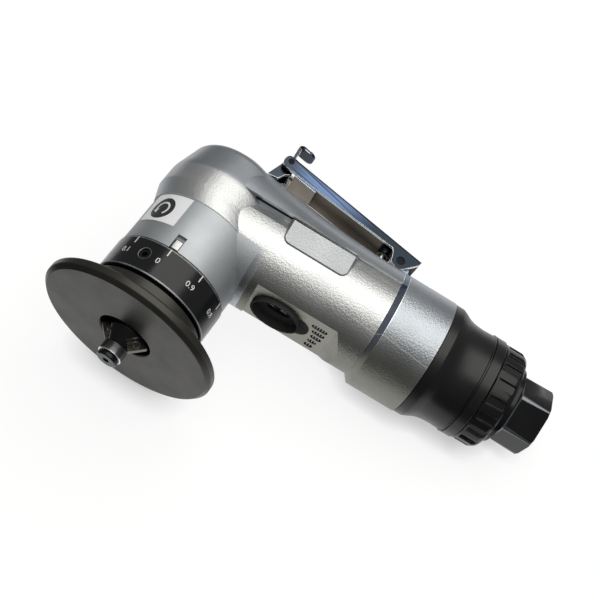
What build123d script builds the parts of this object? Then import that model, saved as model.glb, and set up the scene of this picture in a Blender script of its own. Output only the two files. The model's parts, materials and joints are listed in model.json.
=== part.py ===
"""Air driven bevelling machine: angle head with depth ring and base plate, lever handle.

Frame: origin at the centre of the base plate's underside, +Z up the cutter axis,
handle towards +X. Millimetres throughout.
"""

import os
from math import atan2, cos, degrees, pi, radians, sin, sqrt, tan

from build123d import *

os.makedirs("parts", exist_ok=True)

# Layout of the two axes
AXIS_HEIGHT = 55.2  # where the handle axis meets the cutter axis
HANDLE_TILT = 5.0  # rise of the handle, degrees

# Clearances
RUN = 0.05  # running and sliding fits, on the radius
SEAT = 0.02  # pressed and screwed seats, on the radius
GAP = 0.3  # open gap between pieces that pass each other
RING_GAP = 0.2  # axial play of the depth ring and the regulator ring

# Base plate
PLATE_R = 35.5
PLATE_CHAMFER = 1.5
PLATE_RIM = 4.3
PLATE_HOLE_R = 10.7
HUB_R = 22.6
HUB_FOOT_Z = 8.2
HUB_TOP = 13.0
FEED = 1.0  # plate travel each way
SLEEVE_R = 18.4  # outside of the threaded sleeve
SLEEVE_LENGTH = 9.6

# Depth ring and nose
RING_R = 22.9
RING_LENGTH = 13.8
RING_FLANGE = 2.7
SET_SCREW_R = 2.0
SET_SCREW_ANGLE = -116.7
NOSE_R = 22.4
NOSE_BOTTOM = 28.3
NOSE_TOP = 50.0
KEY_ANGLE = -98.2
KEY_WIDTH = 3.6
KEY_HEIGHT = 6.3
KEY_DEPTH = 2.0

LABEL_START = -157.0
LABEL_ARC = 45.0
LABEL_LOW = 36.2

# Bearing holder and spindle
HOLDER_R = 19.0
HOLDER_TOP = 38.0
SPIGOT_R = 15.0
SPIGOT_BOTTOM = 10.4
SNAP_THICK = 1.2
SNAP_R = 17.4
GUIDE_PIN_R = 1.5
GUIDE_PIN_Z = 20.2
SPINDLE_R = 5.0
COLLAR_R = 6.0
STUD_R = 3.9
STUD_LENGTH = 7.2
NUT_BORE_R = 7.6
NUT_THICK = 2.0

# Bearings: bore radius, outer radius, width
LOWER_BEARING = (5.0, 11.0, 6.0)
UPPER_BEARING = (4.0, 11.0, 7.0)
FRONT_BEARING = (4.0, 8.0, 5.0)
REAR_BEARING = (3.0, 6.5, 5.0)
ROLLER_BEARING = (1.5, 4.7, 4.3)
UPPER_BEARING_Z = 68.0

# Bevel gears
GEAR_TEETH = 24
PINION_TEETH = 12
GEAR_R = 15.0  # pitch radius at the outer end
FACE_WIDTH = 5.0
BACKLASH = 0.3
PRESSURE_ANGLE = 20.0
GEAR_HUB_R = 9.0
GEAR_HUB_BOTTOM = 42.0
PINION_BORE_R = 2.8
PINION_HUB_R = 5.4
GEAR_NUT_R = 6.6
GEAR_NUT_THICK = 3.0

# Cutter and guide roller
CUTTER_R = 7.4
CUTTER_TIP_R = 3.7
CUTTER_BOTTOM = -4.9
CUTTER_ANGLE = 175.0
INSERT_TOP_R = 9.6  # outer end of the cutting edge, at the plate's underside
INSERT_DEPTH = 3.8
INSERT_THICK = 2.2
ROLLER_HEAD_R = 4.1
ROLLER_HEAD = 1.5
ROLLER_NECK = 0.4
ROLLER_THREAD = 3.4

# Head casting above the nose
TURRET_R = 22.7
TURRET_LEAN = 2.5  # the dome leans this far forward of the cutter axis
TURRET_LOW = 57.0
TURRET_HIGH = 65.4
SHOULDER_R = 19.6
SHOULDER_Z = 78.2
CROWN_R = 10.0
CROWN_Z = 84.2
TURRET_TOP = 86.2
GEAR_CAVITY_R = 17.6
UPPER_CAVITY_R = 12.6
UPPER_CAVITY_Z = 56.0

# Handle casting
BARREL_R = 23.5
HANDLE_R = 20.7
HOOD_S = 1.0
HOOD_MID = 14.0
HOOD_END = 66.0
HOOD_END_R = BARREL_R - 0.05  # just inside the barrel that it runs into
# half arches of the hood, width and height across the handle
HOOD_FRONT = (
    (22.4, 0), (22.3, 6.0), (21.7, 11.5), (20.3, 17.5), (18.6, 21.7),
    (15.0, 25.2), (10.2, 28.0), (5.1, 29.9), (0, 30.5),
)
HOOD_MIDDLE = (
    (23.0, 0), (22.7, 6.0), (21.9, 11.2), (20.0, 16.3), (17.2, 20.4),
    (13.7, 23.8), (9.4, 26.5), (4.8, 28.2), (0, 28.8),
)
RIDGE_U = 10.3
RIDGE_GROOVE = 0.8
STEP_S = 71.2
BARREL_S = 73.4
BARREL_END = 93.5
PAD_START = 25.5
PAD_END = 51.5
PAD_FACE = 21.3
PAD_WALL = 19.7  # where the sloping wall of the pad starts
PAD_SLOPE = 1.1
GROOVE_FLOOR = 20.2  # of the groove between pad and hood
FOOT_DROP = 1.3
FLAT_U = 16.3  # underside flat, below the handle axis
FLAT_START = 26.0
FLAT_END = 59.5
FLAT_RAMP = 5.5
VENT_PITCH = 4.0
VENT_SHIFT = 1.2
VENT_WIDTH = 2.7
VENT_DEPTH = 1.9
VENTS = ((52.1, 55.7), (52.4, 56.2), (52.4, 57.0), (51.8, 57.2), (50.6, 57.2))

# Air motor, along the handle
MOTOR_S = 18.0
MOTOR_R = 14.0
PINION_BORE = 9.9
FRONT_PLATE = 8.2
MOTOR_LENGTH = 21.0
REAR_PLATE = 7.6
VALVE_BLOCK = 21.2
FLANGE_R = 19.0
FLANGE_THICK = 3.2
CLAMP_THICK = 4.0
CYLINDER_BORE_R = 10.6
OFFSET = 0.8  # eccentricity of the cylinder bore
ROTOR_R = 9.6
ROTOR_SHAFT_R = 5.0
VANES = 4
VANE_THICK = 1.6
VANE_DEPTH = 5.0
AIR_BORE_R = 4.0

# Throttle valve
VALVE_S = 61.5
BUSH_R = 4.5
BUSH_BOTTOM = 5.2
BUSH_TOP = 22.8
CHAMBER_R = 3.4
CHAMBER_TOP = 12.0
STEM_R = 1.9
VALVE_HEAD_R = 3.0
VALVE_HEAD = 2.0
SEAL_WIRE = 0.55
SPRING_FLOOR = 4.0

# Lever and safety catch
PIVOT_S = 68.0
PIVOT_U = 26.6
LEVER_SLOPE = 9.6
LEVER_REACH = 56.6
LEVER_HALF = 7.1
SHEET = 1.2
FLANGE_FRONT = -0.1  # lower edge at the catch's pin
FLANGE_REAR = 2.2  # lower edge just ahead of the rear ear
FLANGE_HIGH = 5.8
CATCH_PIN_H = 3.2
LEVER_TAIL = 6.8
EAR_R = 3.2
EAR_LOW = 3.0  # foot of the rear ear, below its pin
FRONT_EAR_R = FLANGE_HIGH - CATCH_PIN_H  # runs into the web
LEVER_PIN_R = 1.75
PIN_SUNK = 0.4  # ends of both pins, below the sheet
CATCH_PIN_R = 1.25
CATCH_HALF = 4.5
CATCH_INNER = 3.2
TAB_HALF = 3.4
TAB_LENGTH = 7.8
TAB_CORNER = 2.8
TAB_HIGH = 11.3  # above the catch's pin
TAB_BACK = 3.3  # middle of the tab, behind the pin
NECK_HALF = 2.2
SLOT_LENGTH = 13.6  # behind the catch's pin
TRAY_LOW = 3.7  # underside of the tray, below the catch's pin
TRAY_FLOOR = 0.8
TRAY_SIDE = 0.5
TRAY_FRONT = 4.5
NUB_R = 2.4  # pressed nub under the web that meets the plunger
NUB_U = 28.4
LUG_HALF = 5.4
LUG_TOP = 29.2

# Exhaust insert
EXHAUST_START = 27.2
EXHAUST_END = 47.5
EXHAUST_HALF = 9.2
EXHAUST_RIM = 0.8
EXHAUST_PROUD = 1.9
EXHAUST_BODY = 2.2
EXHAUST_DISH = 3.3
LOBE_END = 51.0
LOBE_HALF = 6.0
LOBE_PROUD = 0.4

# Rear cover, regulator ring and inlet
COVER_BAND_R = 23.2
COVER_BAND = 3.8
COVER_WAIST_R = 20.4
COVER_WAIST = 12.5  # behind the barrel's end
COVER_LIP = 0.5
COVER_TAIL = 5.1  # lip, groove and plain end
COVER_END = 117.5
FELT_R = 16.8
FELT_BORE_R = 12.0
FELT_START = 96.0
FELT_END = 111.5
SHANK_R = 10.0
SPOUT_R = 8.0
REGULATOR_R = 20.3
REGULATOR_LENGTH = 9.6
FLUTES = 18
HEX_ACROSS = 24.0
HEX_S = 129.9
INLET_END = 143.2
INLET_THREAD_R = 5.72
INLET_THREAD = 13.0
ORING_R = 0.75
STRAINER_S = 118.0

# Shared directions and planes
TILT = radians(HANDLE_TILT)
HANDLE_DIR = Vector(cos(TILT), 0, sin(TILT))
HANDLE_UP = Vector(-sin(TILT), 0, cos(TILT))
CENTRE = Vector(0, 0, AXIS_HEIGHT)
HEAD = Plane(origin=(0, 0, 0), x_dir=(1, 0, 0), z_dir=(0, -1, 0))  # (radius, height)
HANDLE = Plane(origin=CENTRE, x_dir=HANDLE_UP, z_dir=(0, 1, 0))  # (radius, station)
SIDE = Plane(origin=CENTRE, x_dir=HANDLE_DIR, z_dir=(0, -1, 0))  # (station, height)
ACROSS = Plane(origin=CENTRE, x_dir=(0, 1, 0), z_dir=HANDLE_DIR)  # (width, height)
HANDLE_AXIS = Axis(CENTRE, HANDLE_DIR)


def station(along, up):
    """Point of the middle plane at a handle station and a height across the handle."""
    return CENTRE + HANDLE_DIR * along + HANDLE_UP * up


def section(plane, *points):
    """Closed straight-sided face on a plane."""
    with BuildSketch(plane) as drawn:
        with BuildLine():
            Polyline(*points, close=True)
        make_face()
    return drawn.sketch


def ring(plane, inner, outer, start, end):
    """Rectangular section of a turned ring."""
    return section(plane, (inner, start), (outer, start), (outer, end), (inner, end))


def disc(plane, x, y, radius):
    """Round face on a plane."""
    with BuildSketch(plane) as drawn:
        with Locations((x, y)):
            Circle(radius)
    return drawn.sketch


def bar(plane, x, y, width, height):
    """Rectangular face on a plane, about its own centre."""
    with BuildSketch(plane) as drawn:
        with Locations((x, y)):
            Rectangle(width, height)
    return drawn.sketch


def hood_face(along, *points):
    """Closed face across the handle under a smooth arch, given from one foot to its top."""
    arch = list(points) + [(-x, y) for x, y in reversed(points[:-1])]
    with BuildSketch(ACROSS.offset(along)) as drawn:
        with BuildLine():
            Spline(*arch)
            Line(arch[-1], arch[0])
        make_face()
    return drawn.sketch


def radial(angle, height):
    """Plane facing outwards from the cutter axis at an angle and a height."""
    out = Vector(cos(radians(angle)), sin(radians(angle)), 0)
    return Plane(origin=(0, 0, height), x_dir=Vector(0, 0, 1).cross(out), z_dir=out)


def spoke(along, angle):
    """Plane across the handle at a station, its x axis turned about the handle axis."""
    turn = radians(angle)
    out = Vector(0, cos(turn), 0) + HANDLE_UP * sin(turn)
    return Plane(origin=station(along, 0), x_dir=out, z_dir=HANDLE_DIR)


def write(piece, name):
    piece.part.label = name
    export_step(piece.part, f"parts/{name}.step")


# Stations that follow from the sizes above
RING_TOP = NOSE_BOTTOM - RING_GAP
RING_BOTTOM = RING_TOP - RING_LENGTH
FLANGE_BOTTOM = RING_TOP - RING_FLANGE
SNAP_Z = FLANGE_BOTTOM - RUN - SNAP_THICK
NUT_Z = SPIGOT_BOTTOM
LOWER_BEARING_Z = NUT_Z + NUT_THICK + SEAT
LOWER_BEARING_TOP = LOWER_BEARING_Z + LOWER_BEARING[2]
PLATE_FLOOR = SPIGOT_BOTTOM - FEED - GAP
SLEEVE_BORE_R = SPIGOT_R + RUN
CUTTER_TOP = LOWER_BEARING_Z - 3.7
ROLLER_Z = CUTTER_BOTTOM - 0.1 - ROLLER_BEARING[2]
MOTOR_FRONT = MOTOR_S + FRONT_PLATE
MOTOR_REAR = MOTOR_FRONT + MOTOR_LENGTH
BLOCK_S = MOTOR_REAR + REAR_PLATE
FLANGE_S = BLOCK_S + VALVE_BLOCK
CLAMP_S = FLANGE_S + FLANGE_THICK
CLAMP_END = CLAMP_S + CLAMP_THICK
REAR_BEARING_S = BLOCK_S - REAR_BEARING[2]
REGULATOR_S = COVER_END + RING_GAP
REGULATOR_END = REGULATOR_S + REGULATOR_LENGTH

# Bevel gear geometry
SHAFT_ANGLE = radians(90 + HANDLE_TILT)
PINION_CONE = atan2(sin(SHAFT_ANGLE), GEAR_TEETH / PINION_TEETH + cos(SHAFT_ANGLE))
GEAR_CONE = SHAFT_ANGLE - PINION_CONE
CONE_OUTER = GEAR_R / sin(GEAR_CONE)
CONE_INNER = CONE_OUTER - FACE_WIDTH
MODULE = 2 * GEAR_R / GEAR_TEETH
ADDENDUM = 0.8 * MODULE
DEDENDUM = 1.05 * MODULE
TOOTH_HALF = (pi * MODULE / 2 - BACKLASH) / 2


def cone_point(cone, distance, rise):
    """Radius and axial distance from the cone apex of a point off the pitch cone."""
    return (
        distance * sin(cone) + rise * cos(cone),
        distance * cos(cone) - rise * sin(cone),
    )


def tooth_face(axis, out, cone, distance):
    """Tooth outline square to the pitch cone, scaled by its distance from the apex."""
    scale = distance / CONE_OUTER
    slope = tan(radians(PRESSURE_ANGLE))
    root = DEDENDUM + 0.3
    along = axis * cos(cone) + out * sin(cone)
    plane = Plane(origin=CENTRE + along * distance, x_dir=out.cross(axis), z_dir=along)
    return section(
        plane,
        (-(TOOTH_HALF + root * slope) * scale, -root * scale),
        ((TOOTH_HALF + root * slope) * scale, -root * scale),
        ((TOOTH_HALF - ADDENDUM * slope) * scale, ADDENDUM * scale),
        (-(TOOTH_HALF - ADDENDUM * slope) * scale, ADDENDUM * scale),
    )


# Lever and catch planes
LEVER_ANGLE = radians(LEVER_SLOPE)
LEVER_FORWARD = HANDLE_UP * sin(LEVER_ANGLE) - HANDLE_DIR * cos(LEVER_ANGLE)
LEVER = Plane(origin=station(PIVOT_S, PIVOT_U), x_dir=LEVER_FORWARD, z_dir=(0, 1, 0))
LEVER_ACROSS = Plane(origin=LEVER.origin, x_dir=(0, -1, 0), z_dir=LEVER_FORWARD)
SLOT_END = LEVER_REACH - SLOT_LENGTH
CATCH_S = PIVOT_S - LEVER_REACH * cos(LEVER_ANGLE) + CATCH_PIN_H * sin(LEVER_ANGLE)
CATCH_U = PIVOT_U + LEVER_REACH * sin(LEVER_ANGLE) + CATCH_PIN_H * cos(LEVER_ANGLE)
CATCH = Plane(origin=station(CATCH_S, CATCH_U), x_dir=HANDLE_DIR, z_dir=(0, -1, 0))
TAB = Plane(
    origin=station(CATCH_S + TAB_BACK, CATCH_U + TAB_HIGH),
    x_dir=-LEVER_FORWARD,
    z_dir=HANDLE_UP * cos(LEVER_ANGLE) + HANDLE_DIR * sin(LEVER_ANGLE),
)
VALVE = Plane(origin=station(VALVE_S, 0), x_dir=HANDLE_DIR, z_dir=HANDLE_UP)
UNDERSIDE = Plane(origin=station(0, -FLAT_U), x_dir=HANDLE_DIR, z_dir=-HANDLE_UP)


def exhaust_oval(plane, grow):
    """Oval of the exhaust insert, under the handle."""
    with BuildSketch(plane) as drawn:
        with Locations(((EXHAUST_START + EXHAUST_END) / 2, 0)):
            Ellipse((EXHAUST_END - EXHAUST_START) / 2 + grow, EXHAUST_HALF + grow)
    return drawn.sketch


def exhaust_lobe(plane, grow):
    """Smaller round lobe behind the oval."""
    return disc(plane, LOBE_END - LOBE_HALF, 0, LOBE_HALF + grow)


def dome_outline():
    """Half outline of the dome over the head, about its own leaning centre."""
    plane = HEAD.offset(0).moved(Location((-TURRET_LEAN, 0, 0)))
    with BuildSketch(plane) as drawn:
        with BuildLine():
            FilletPolyline(
                (TURRET_R, TURRET_LOW),
                (TURRET_R, TURRET_HIGH),
                (SHOULDER_R, SHOULDER_Z),
                (CROWN_R, CROWN_Z),
                (0, TURRET_TOP),
                radius=(14, 4.5, 18),
            )
            Polyline((0, TURRET_TOP), (0, TURRET_LOW), (TURRET_R, TURRET_LOW))
        make_face()
    return drawn.sketch


# Housing: one casting of nose, dome, hood and handle
with BuildPart() as housing:
    round_arch = [
        (HOOD_END_R * cos(radians(angle)), HOOD_END_R * sin(radians(angle)))
        for angle in (0, 14, 28, 42, 54, 63, 72, 81, 90)
    ]
    loft([
        hood_face(HOOD_S, *HOOD_FRONT),
        hood_face(HOOD_MID, *HOOD_MIDDLE),
        hood_face(HOOD_END, *round_arch),
        hood_face(BARREL_S + GAP, *round_arch),
    ])
    split(bisect_by=Plane(station(0, RIDGE_U), x_dir=HANDLE_DIR, z_dir=HANDLE_UP))
    revolve(
        section(
            HANDLE,
            (0, 0),
            (HANDLE_R, 0),
            (HANDLE_R, STEP_S),
            (BARREL_R, BARREL_S),
            (BARREL_R, BARREL_END),
            (0, BARREL_END),
        ),
        axis=HANDLE_AXIS,
    )
    # sloped strip under the ridge, the drawn-in foot of the hood, then the raised pad
    for side in (-1, 1):
        strip = section(
            ACROSS.offset(HOOD_S),
            (side * 20.0, 5.4),
            (side * 17.8, RIDGE_U),
            (side * 24.0, RIDGE_U),
        )
        extrude(strip, amount=PAD_START - HOOD_S, mode=Mode.SUBTRACT)
        foot = section(
            ACROSS.offset(HOOD_S),
            (side * 17.0, RIDGE_U + 0.5),
            (side * GROOVE_FLOOR, RIDGE_U + 0.5),
            (side * GROOVE_FLOOR, RIDGE_U),
            (side * 17.6, RIDGE_U - FOOT_DROP),
        )
        extrude(foot, amount=BARREL_S - HOOD_S)
        with BuildSketch(SIDE.offset(-side * PAD_WALL)) as pad:
            with BuildLine():
                FilletPolyline(
                    (PAD_START - PAD_SLOPE, RIDGE_U + 0.5 + PAD_SLOPE),
                    (PAD_START - PAD_SLOPE, -PAD_SLOPE),
                    (PAD_END + PAD_SLOPE, -PAD_SLOPE),
                    (PAD_END + PAD_SLOPE, RIDGE_U + 0.5 + PAD_SLOPE),
                    radius=(0, 3.6, 3.6, 0),
                    close=True,
                )
            make_face()
        extrude(pad.sketch, amount=side * 6.0)
        slope = degrees(atan2(PAD_SLOPE, PAD_FACE - PAD_WALL))
        extrude(pad.sketch, amount=-side * (PAD_FACE - PAD_WALL), taper=slope)
        groove = section(
            ACROSS.offset(PAD_START - PAD_SLOPE),
            (side * GROOVE_FLOOR, RIDGE_U - RIDGE_GROOVE),
            (side * 24.0, RIDGE_U - RIDGE_GROOVE),
            (side * 24.0, RIDGE_U),
            (side * GROOVE_FLOOR, RIDGE_U),
        )
        extrude(groove, amount=PAD_END - PAD_START + 2 * PAD_SLOPE, mode=Mode.SUBTRACT)
    # nose, the leaning neck over it and the dome
    revolve(ring(HEAD, 0, NOSE_R, NOSE_BOTTOM, NOSE_TOP), axis=Axis.Z)
    loft([
        disc(Plane.XY.offset(NOSE_TOP), 0, 0, TURRET_R),
        disc(Plane.XY.offset(TURRET_LOW), -TURRET_LEAN, 0, TURRET_R),
    ])
    revolve(dome_outline(), axis=Axis((-TURRET_LEAN, 0, 0), (0, 0, 1)))
    # lever lug
    extrude(
        section(SIDE, (64.2, 20.0), (64.2, 28.4), (66.0, LUG_TOP), (72.0, LUG_TOP), (74.0, 20.0)),
        amount=LUG_HALF,
        both=True,
    )
    extrude(disc(SIDE, PIVOT_S, PIVOT_U, LEVER_PIN_R + SEAT), amount=20, both=True, mode=Mode.SUBTRACT)
    # underside flat with its ramp, exhaust pocket and vents
    extrude(
        section(
            SIDE,
            (FLAT_START, -FLAT_U),
            (FLAT_END, -FLAT_U),
            (FLAT_END + FLAT_RAMP, -HANDLE_R - 0.5),
            (FLAT_START, -HANDLE_R - 0.5),
        ),
        amount=HANDLE_R,
        both=True,
        mode=Mode.SUBTRACT,
    )
    for pocket in (exhaust_oval(UNDERSIDE, SEAT), exhaust_lobe(UNDERSIDE, SEAT)):
        extrude(pocket, amount=-EXHAUST_BODY - GAP, mode=Mode.SUBTRACT)
    with BuildSketch(UNDERSIDE) as vents:
        for row, (start, end) in enumerate(VENTS):
            with Locations(((start + end) / 2, (row - 2) * VENT_PITCH - VENT_SHIFT)):
                SlotOverall(end - start, VENT_WIDTH)
    extrude(vents.sketch, amount=-VENT_DEPTH, mode=Mode.SUBTRACT)
    # head bores, from below
    revolve(
        section(
            HEAD,
            (0, NOSE_BOTTOM),
            (HOLDER_R, NOSE_BOTTOM),
            (HOLDER_R, HOLDER_TOP + SEAT),
            (GEAR_CAVITY_R, HOLDER_TOP + SEAT),
            (GEAR_CAVITY_R, UPPER_CAVITY_Z),
            (UPPER_CAVITY_R, UPPER_CAVITY_Z + 3),
            (UPPER_CAVITY_R, UPPER_BEARING_Z),
            (UPPER_BEARING[1] + SEAT, UPPER_BEARING_Z),
            (UPPER_BEARING[1] + SEAT, UPPER_BEARING_Z + UPPER_BEARING[2]),
            (7.5, UPPER_BEARING_Z + UPPER_BEARING[2]),
            (5.5, UPPER_BEARING_Z + UPPER_BEARING[2] + 2.5),
            (0, UPPER_BEARING_Z + UPPER_BEARING[2] + 2.5),
        ),
        axis=Axis.Z,
        mode=Mode.SUBTRACT,
    )
    # motor bore and valve hole
    revolve(
        section(
            HANDLE,
            (0, 6),
            (PINION_BORE, 6),
            (PINION_BORE, MOTOR_S),
            (MOTOR_R, MOTOR_S),
            (MOTOR_R, FLANGE_S),
            (FLANGE_R, FLANGE_S),
            (FLANGE_R, BARREL_END),
            (0, BARREL_END),
        ),
        axis=HANDLE_AXIS,
        mode=Mode.SUBTRACT,
    )
    extrude(disc(VALVE, 0, 0, BUSH_R + SEAT), amount=30, mode=Mode.SUBTRACT)
    # index key slot in the nose
    extrude(
        bar(
            radial(KEY_ANGLE, NOSE_BOTTOM + KEY_HEIGHT / 2).offset(NOSE_R - KEY_DEPTH),
            0,
            0,
            KEY_WIDTH + 2 * SEAT,
            KEY_HEIGHT,
        ),
        amount=5,
        mode=Mode.SUBTRACT,
    )
write(housing, "housing")

# Blank label on the nose
with BuildPart() as name_label:
    start = Vector(cos(radians(LABEL_START)), sin(radians(LABEL_START)), 0)
    edge = Plane(origin=(0, 0, 0), x_dir=start, z_dir=start.cross(Vector(0, 0, 1)))
    blank = ring(edge, NOSE_R + SEAT, NOSE_R + 0.15, LABEL_LOW, NOSE_TOP - 0.6)
    revolve(blank, axis=Axis.Z, revolution_arc=LABEL_ARC)
write(name_label, "name_label")

# Index key
with BuildPart() as index_key:
    extrude(
        bar(
            radial(KEY_ANGLE, NOSE_BOTTOM + KEY_HEIGHT / 2).offset(NOSE_R - KEY_DEPTH + SEAT),
            0,
            -0.7,
            KEY_WIDTH,
            KEY_HEIGHT - 1.6,
        ),
        amount=KEY_DEPTH - 0.35,
    )
write(index_key, "index_key")

# Bearing holder: threaded body in the nose, spigot down through the depth ring
with BuildPart() as bearing_holder:
    revolve(
        section(
            HEAD,
            (LOWER_BEARING[1] + SEAT, SPIGOT_BOTTOM),
            (SPIGOT_R, SPIGOT_BOTTOM),
            (SPIGOT_R, SNAP_Z - SEAT),
            (SPIGOT_R - 0.8, SNAP_Z - SEAT),
            (SPIGOT_R - 0.8, SNAP_Z + SNAP_THICK + SEAT),
            (SPIGOT_R, SNAP_Z + SNAP_THICK + SEAT),
            (SPIGOT_R, FLANGE_BOTTOM),
            (SPIGOT_R + 0.9, FLANGE_BOTTOM),
            (SPIGOT_R + 0.9, NOSE_BOTTOM),
            (HOLDER_R - SEAT, NOSE_BOTTOM),
            (HOLDER_R - SEAT, HOLDER_TOP),
            (COLLAR_R + 2.6, HOLDER_TOP),
            (COLLAR_R + 2.6, LOWER_BEARING_TOP),
            (LOWER_BEARING[1] + SEAT, LOWER_BEARING_TOP),
        ),
        axis=Axis.Z,
    )
    pin_hole = disc(radial(180, GUIDE_PIN_Z), 0, 0, GUIDE_PIN_R + SEAT)
    extrude(pin_hole, amount=SPIGOT_R + 1, mode=Mode.SUBTRACT)
write(bearing_holder, "bearing_holder")

# Snap ring that carries the depth ring
with BuildPart() as snap_ring:
    revolve(
        ring(HEAD, SPIGOT_R - 0.8 + SEAT, SNAP_R, SNAP_Z, SNAP_Z + SNAP_THICK),
        axis=Axis.Z,
    )
    extrude(bar(radial(0, SNAP_Z), 0, 0, 5, 4), amount=SNAP_R + 1, mode=Mode.SUBTRACT)
write(snap_ring, "snap_ring")

# Guide pin that keeps the base plate from turning
with BuildPart() as guide_pin:
    extrude(
        disc(radial(180, GUIDE_PIN_Z).offset(COLLAR_R + 3.2), 0, 0, GUIDE_PIN_R),
        amount=SLEEVE_R - 0.4 - COLLAR_R - 3.2,
    )
write(guide_pin, "guide_pin")

# Retainer nut and dust seal under the lower bearing
with BuildPart() as retainer_nut:
    revolve(
        ring(HEAD, NUT_BORE_R, LOWER_BEARING[1], NUT_Z, NUT_Z + NUT_THICK),
        axis=Axis.Z,
    )
    for angle in (45, 225):
        notch = disc(Plane.XY.offset(NUT_Z), 9.4 * cos(radians(angle)), 9.4 * sin(radians(angle)), 0.8)
        extrude(notch, amount=1.2, mode=Mode.SUBTRACT)
write(retainer_nut, "retainer_nut")

with BuildPart() as dust_seal:
    revolve(
        ring(HEAD, COLLAR_R + RUN, NUT_BORE_R - SEAT, NUT_Z + 0.2, NUT_Z + NUT_THICK - 0.2),
        axis=Axis.Z,
    )
write(dust_seal, "dust_seal")

# Depth ring: graduated, threaded inside on the plate sleeve
with BuildPart() as depth_ring:
    revolve(
        section(
            HEAD,
            (SLEEVE_R + RUN, RING_BOTTOM),
            (RING_R - 0.4, RING_BOTTOM),
            (RING_R, RING_BOTTOM + 0.4),
            (RING_R, RING_TOP - 0.4),
            (RING_R - 0.4, RING_TOP),
            (SPIGOT_R + 0.9 + RUN, RING_TOP),
            (SPIGOT_R + 0.9 + RUN, FLANGE_BOTTOM),
            (SLEEVE_R + RUN, FLANGE_BOTTOM),
        ),
        axis=Axis.Z,
    )
    screw_hole = disc(radial(SET_SCREW_ANGLE, (RING_BOTTOM + RING_TOP) / 2 + 0.4), 0, 0, SET_SCREW_R + SEAT)
    extrude(screw_hole, amount=RING_R + 1, mode=Mode.SUBTRACT)
write(depth_ring, "depth_ring")

with BuildPart() as ring_set_screw:
    screw_plane = radial(SET_SCREW_ANGLE, (RING_BOTTOM + RING_TOP) / 2 + 0.4)
    extrude(disc(screw_plane.offset(SLEEVE_R + 0.5), 0, 0, SET_SCREW_R), amount=RING_R - SLEEVE_R - 1.1)
    with BuildSketch(screw_plane.offset(RING_R - 0.6)) as socket:
        RegularPolygon(1.15, 6)
    extrude(socket.sketch, amount=-1.6, mode=Mode.SUBTRACT)
write(ring_set_screw, "ring_set_screw")

# Base plate with its threaded sleeve
with BuildPart() as base_plate:
    with BuildSketch(HEAD) as plate_outline:
        with BuildLine():
            FilletPolyline(
                (PLATE_HOLE_R, 0),
                (PLATE_R - PLATE_CHAMFER, 0),
                (PLATE_R, PLATE_CHAMFER),
                (PLATE_R, PLATE_RIM),
                (HUB_R + 1.2, HUB_FOOT_Z),
                (HUB_R, HUB_FOOT_Z + 1.2),
                (HUB_R, HUB_TOP),
                (SLEEVE_R, HUB_TOP),
                (SLEEVE_R, HUB_TOP + SLEEVE_LENGTH),
                (SLEEVE_BORE_R, HUB_TOP + SLEEVE_LENGTH),
                (SLEEVE_BORE_R, PLATE_FLOOR),
                (PLATE_HOLE_R, PLATE_FLOOR),
                radius=(0, 0, 0.8, 1.0, 1.0, 0.5, 0, 0, 0, 0.8, 0, 0.6),
                close=True,
            )
        make_face()
    revolve(plate_outline.sketch, axis=Axis.Z)
    fillet(base_plate.edges().group_by(Axis.Z)[0], radius=0.6)
    extrude(
        bar(radial(180, HUB_TOP + SLEEVE_LENGTH), 0, 0, 2 * (GUIDE_PIN_R + RUN), 12.0),
        amount=SLEEVE_R + 1,
        mode=Mode.SUBTRACT,
    )
write(base_plate, "base_plate")

# Spindle
with BuildPart() as spindle:
    revolve(
        section(
            HEAD,
            (0, CUTTER_TOP - STUD_LENGTH),
            (STUD_R - 0.5, CUTTER_TOP - STUD_LENGTH),
            (STUD_R, CUTTER_TOP - STUD_LENGTH + 0.5),
            (STUD_R, CUTTER_TOP),
            (COLLAR_R, CUTTER_TOP),
            (COLLAR_R, LOWER_BEARING_Z),
            (SPINDLE_R - SEAT, LOWER_BEARING_Z),
            (SPINDLE_R - SEAT, UPPER_BEARING_Z),
            (UPPER_BEARING[0] - SEAT, UPPER_BEARING_Z),
            (UPPER_BEARING[0] - SEAT, UPPER_BEARING_Z + UPPER_BEARING[2] - 0.4),
            (UPPER_BEARING[0] - 0.5, UPPER_BEARING_Z + UPPER_BEARING[2]),
            (0, UPPER_BEARING_Z + UPPER_BEARING[2]),
        ),
        axis=Axis.Z,
    )
write(spindle, "spindle")

# Spacer between the lower bearing and the gear
with BuildPart() as gear_spacer:
    revolve(ring(HEAD, SPINDLE_R, COLLAR_R + 0.7, LOWER_BEARING_TOP, GEAR_HUB_BOTTOM), axis=Axis.Z)
write(gear_spacer, "gear_spacer")

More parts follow.
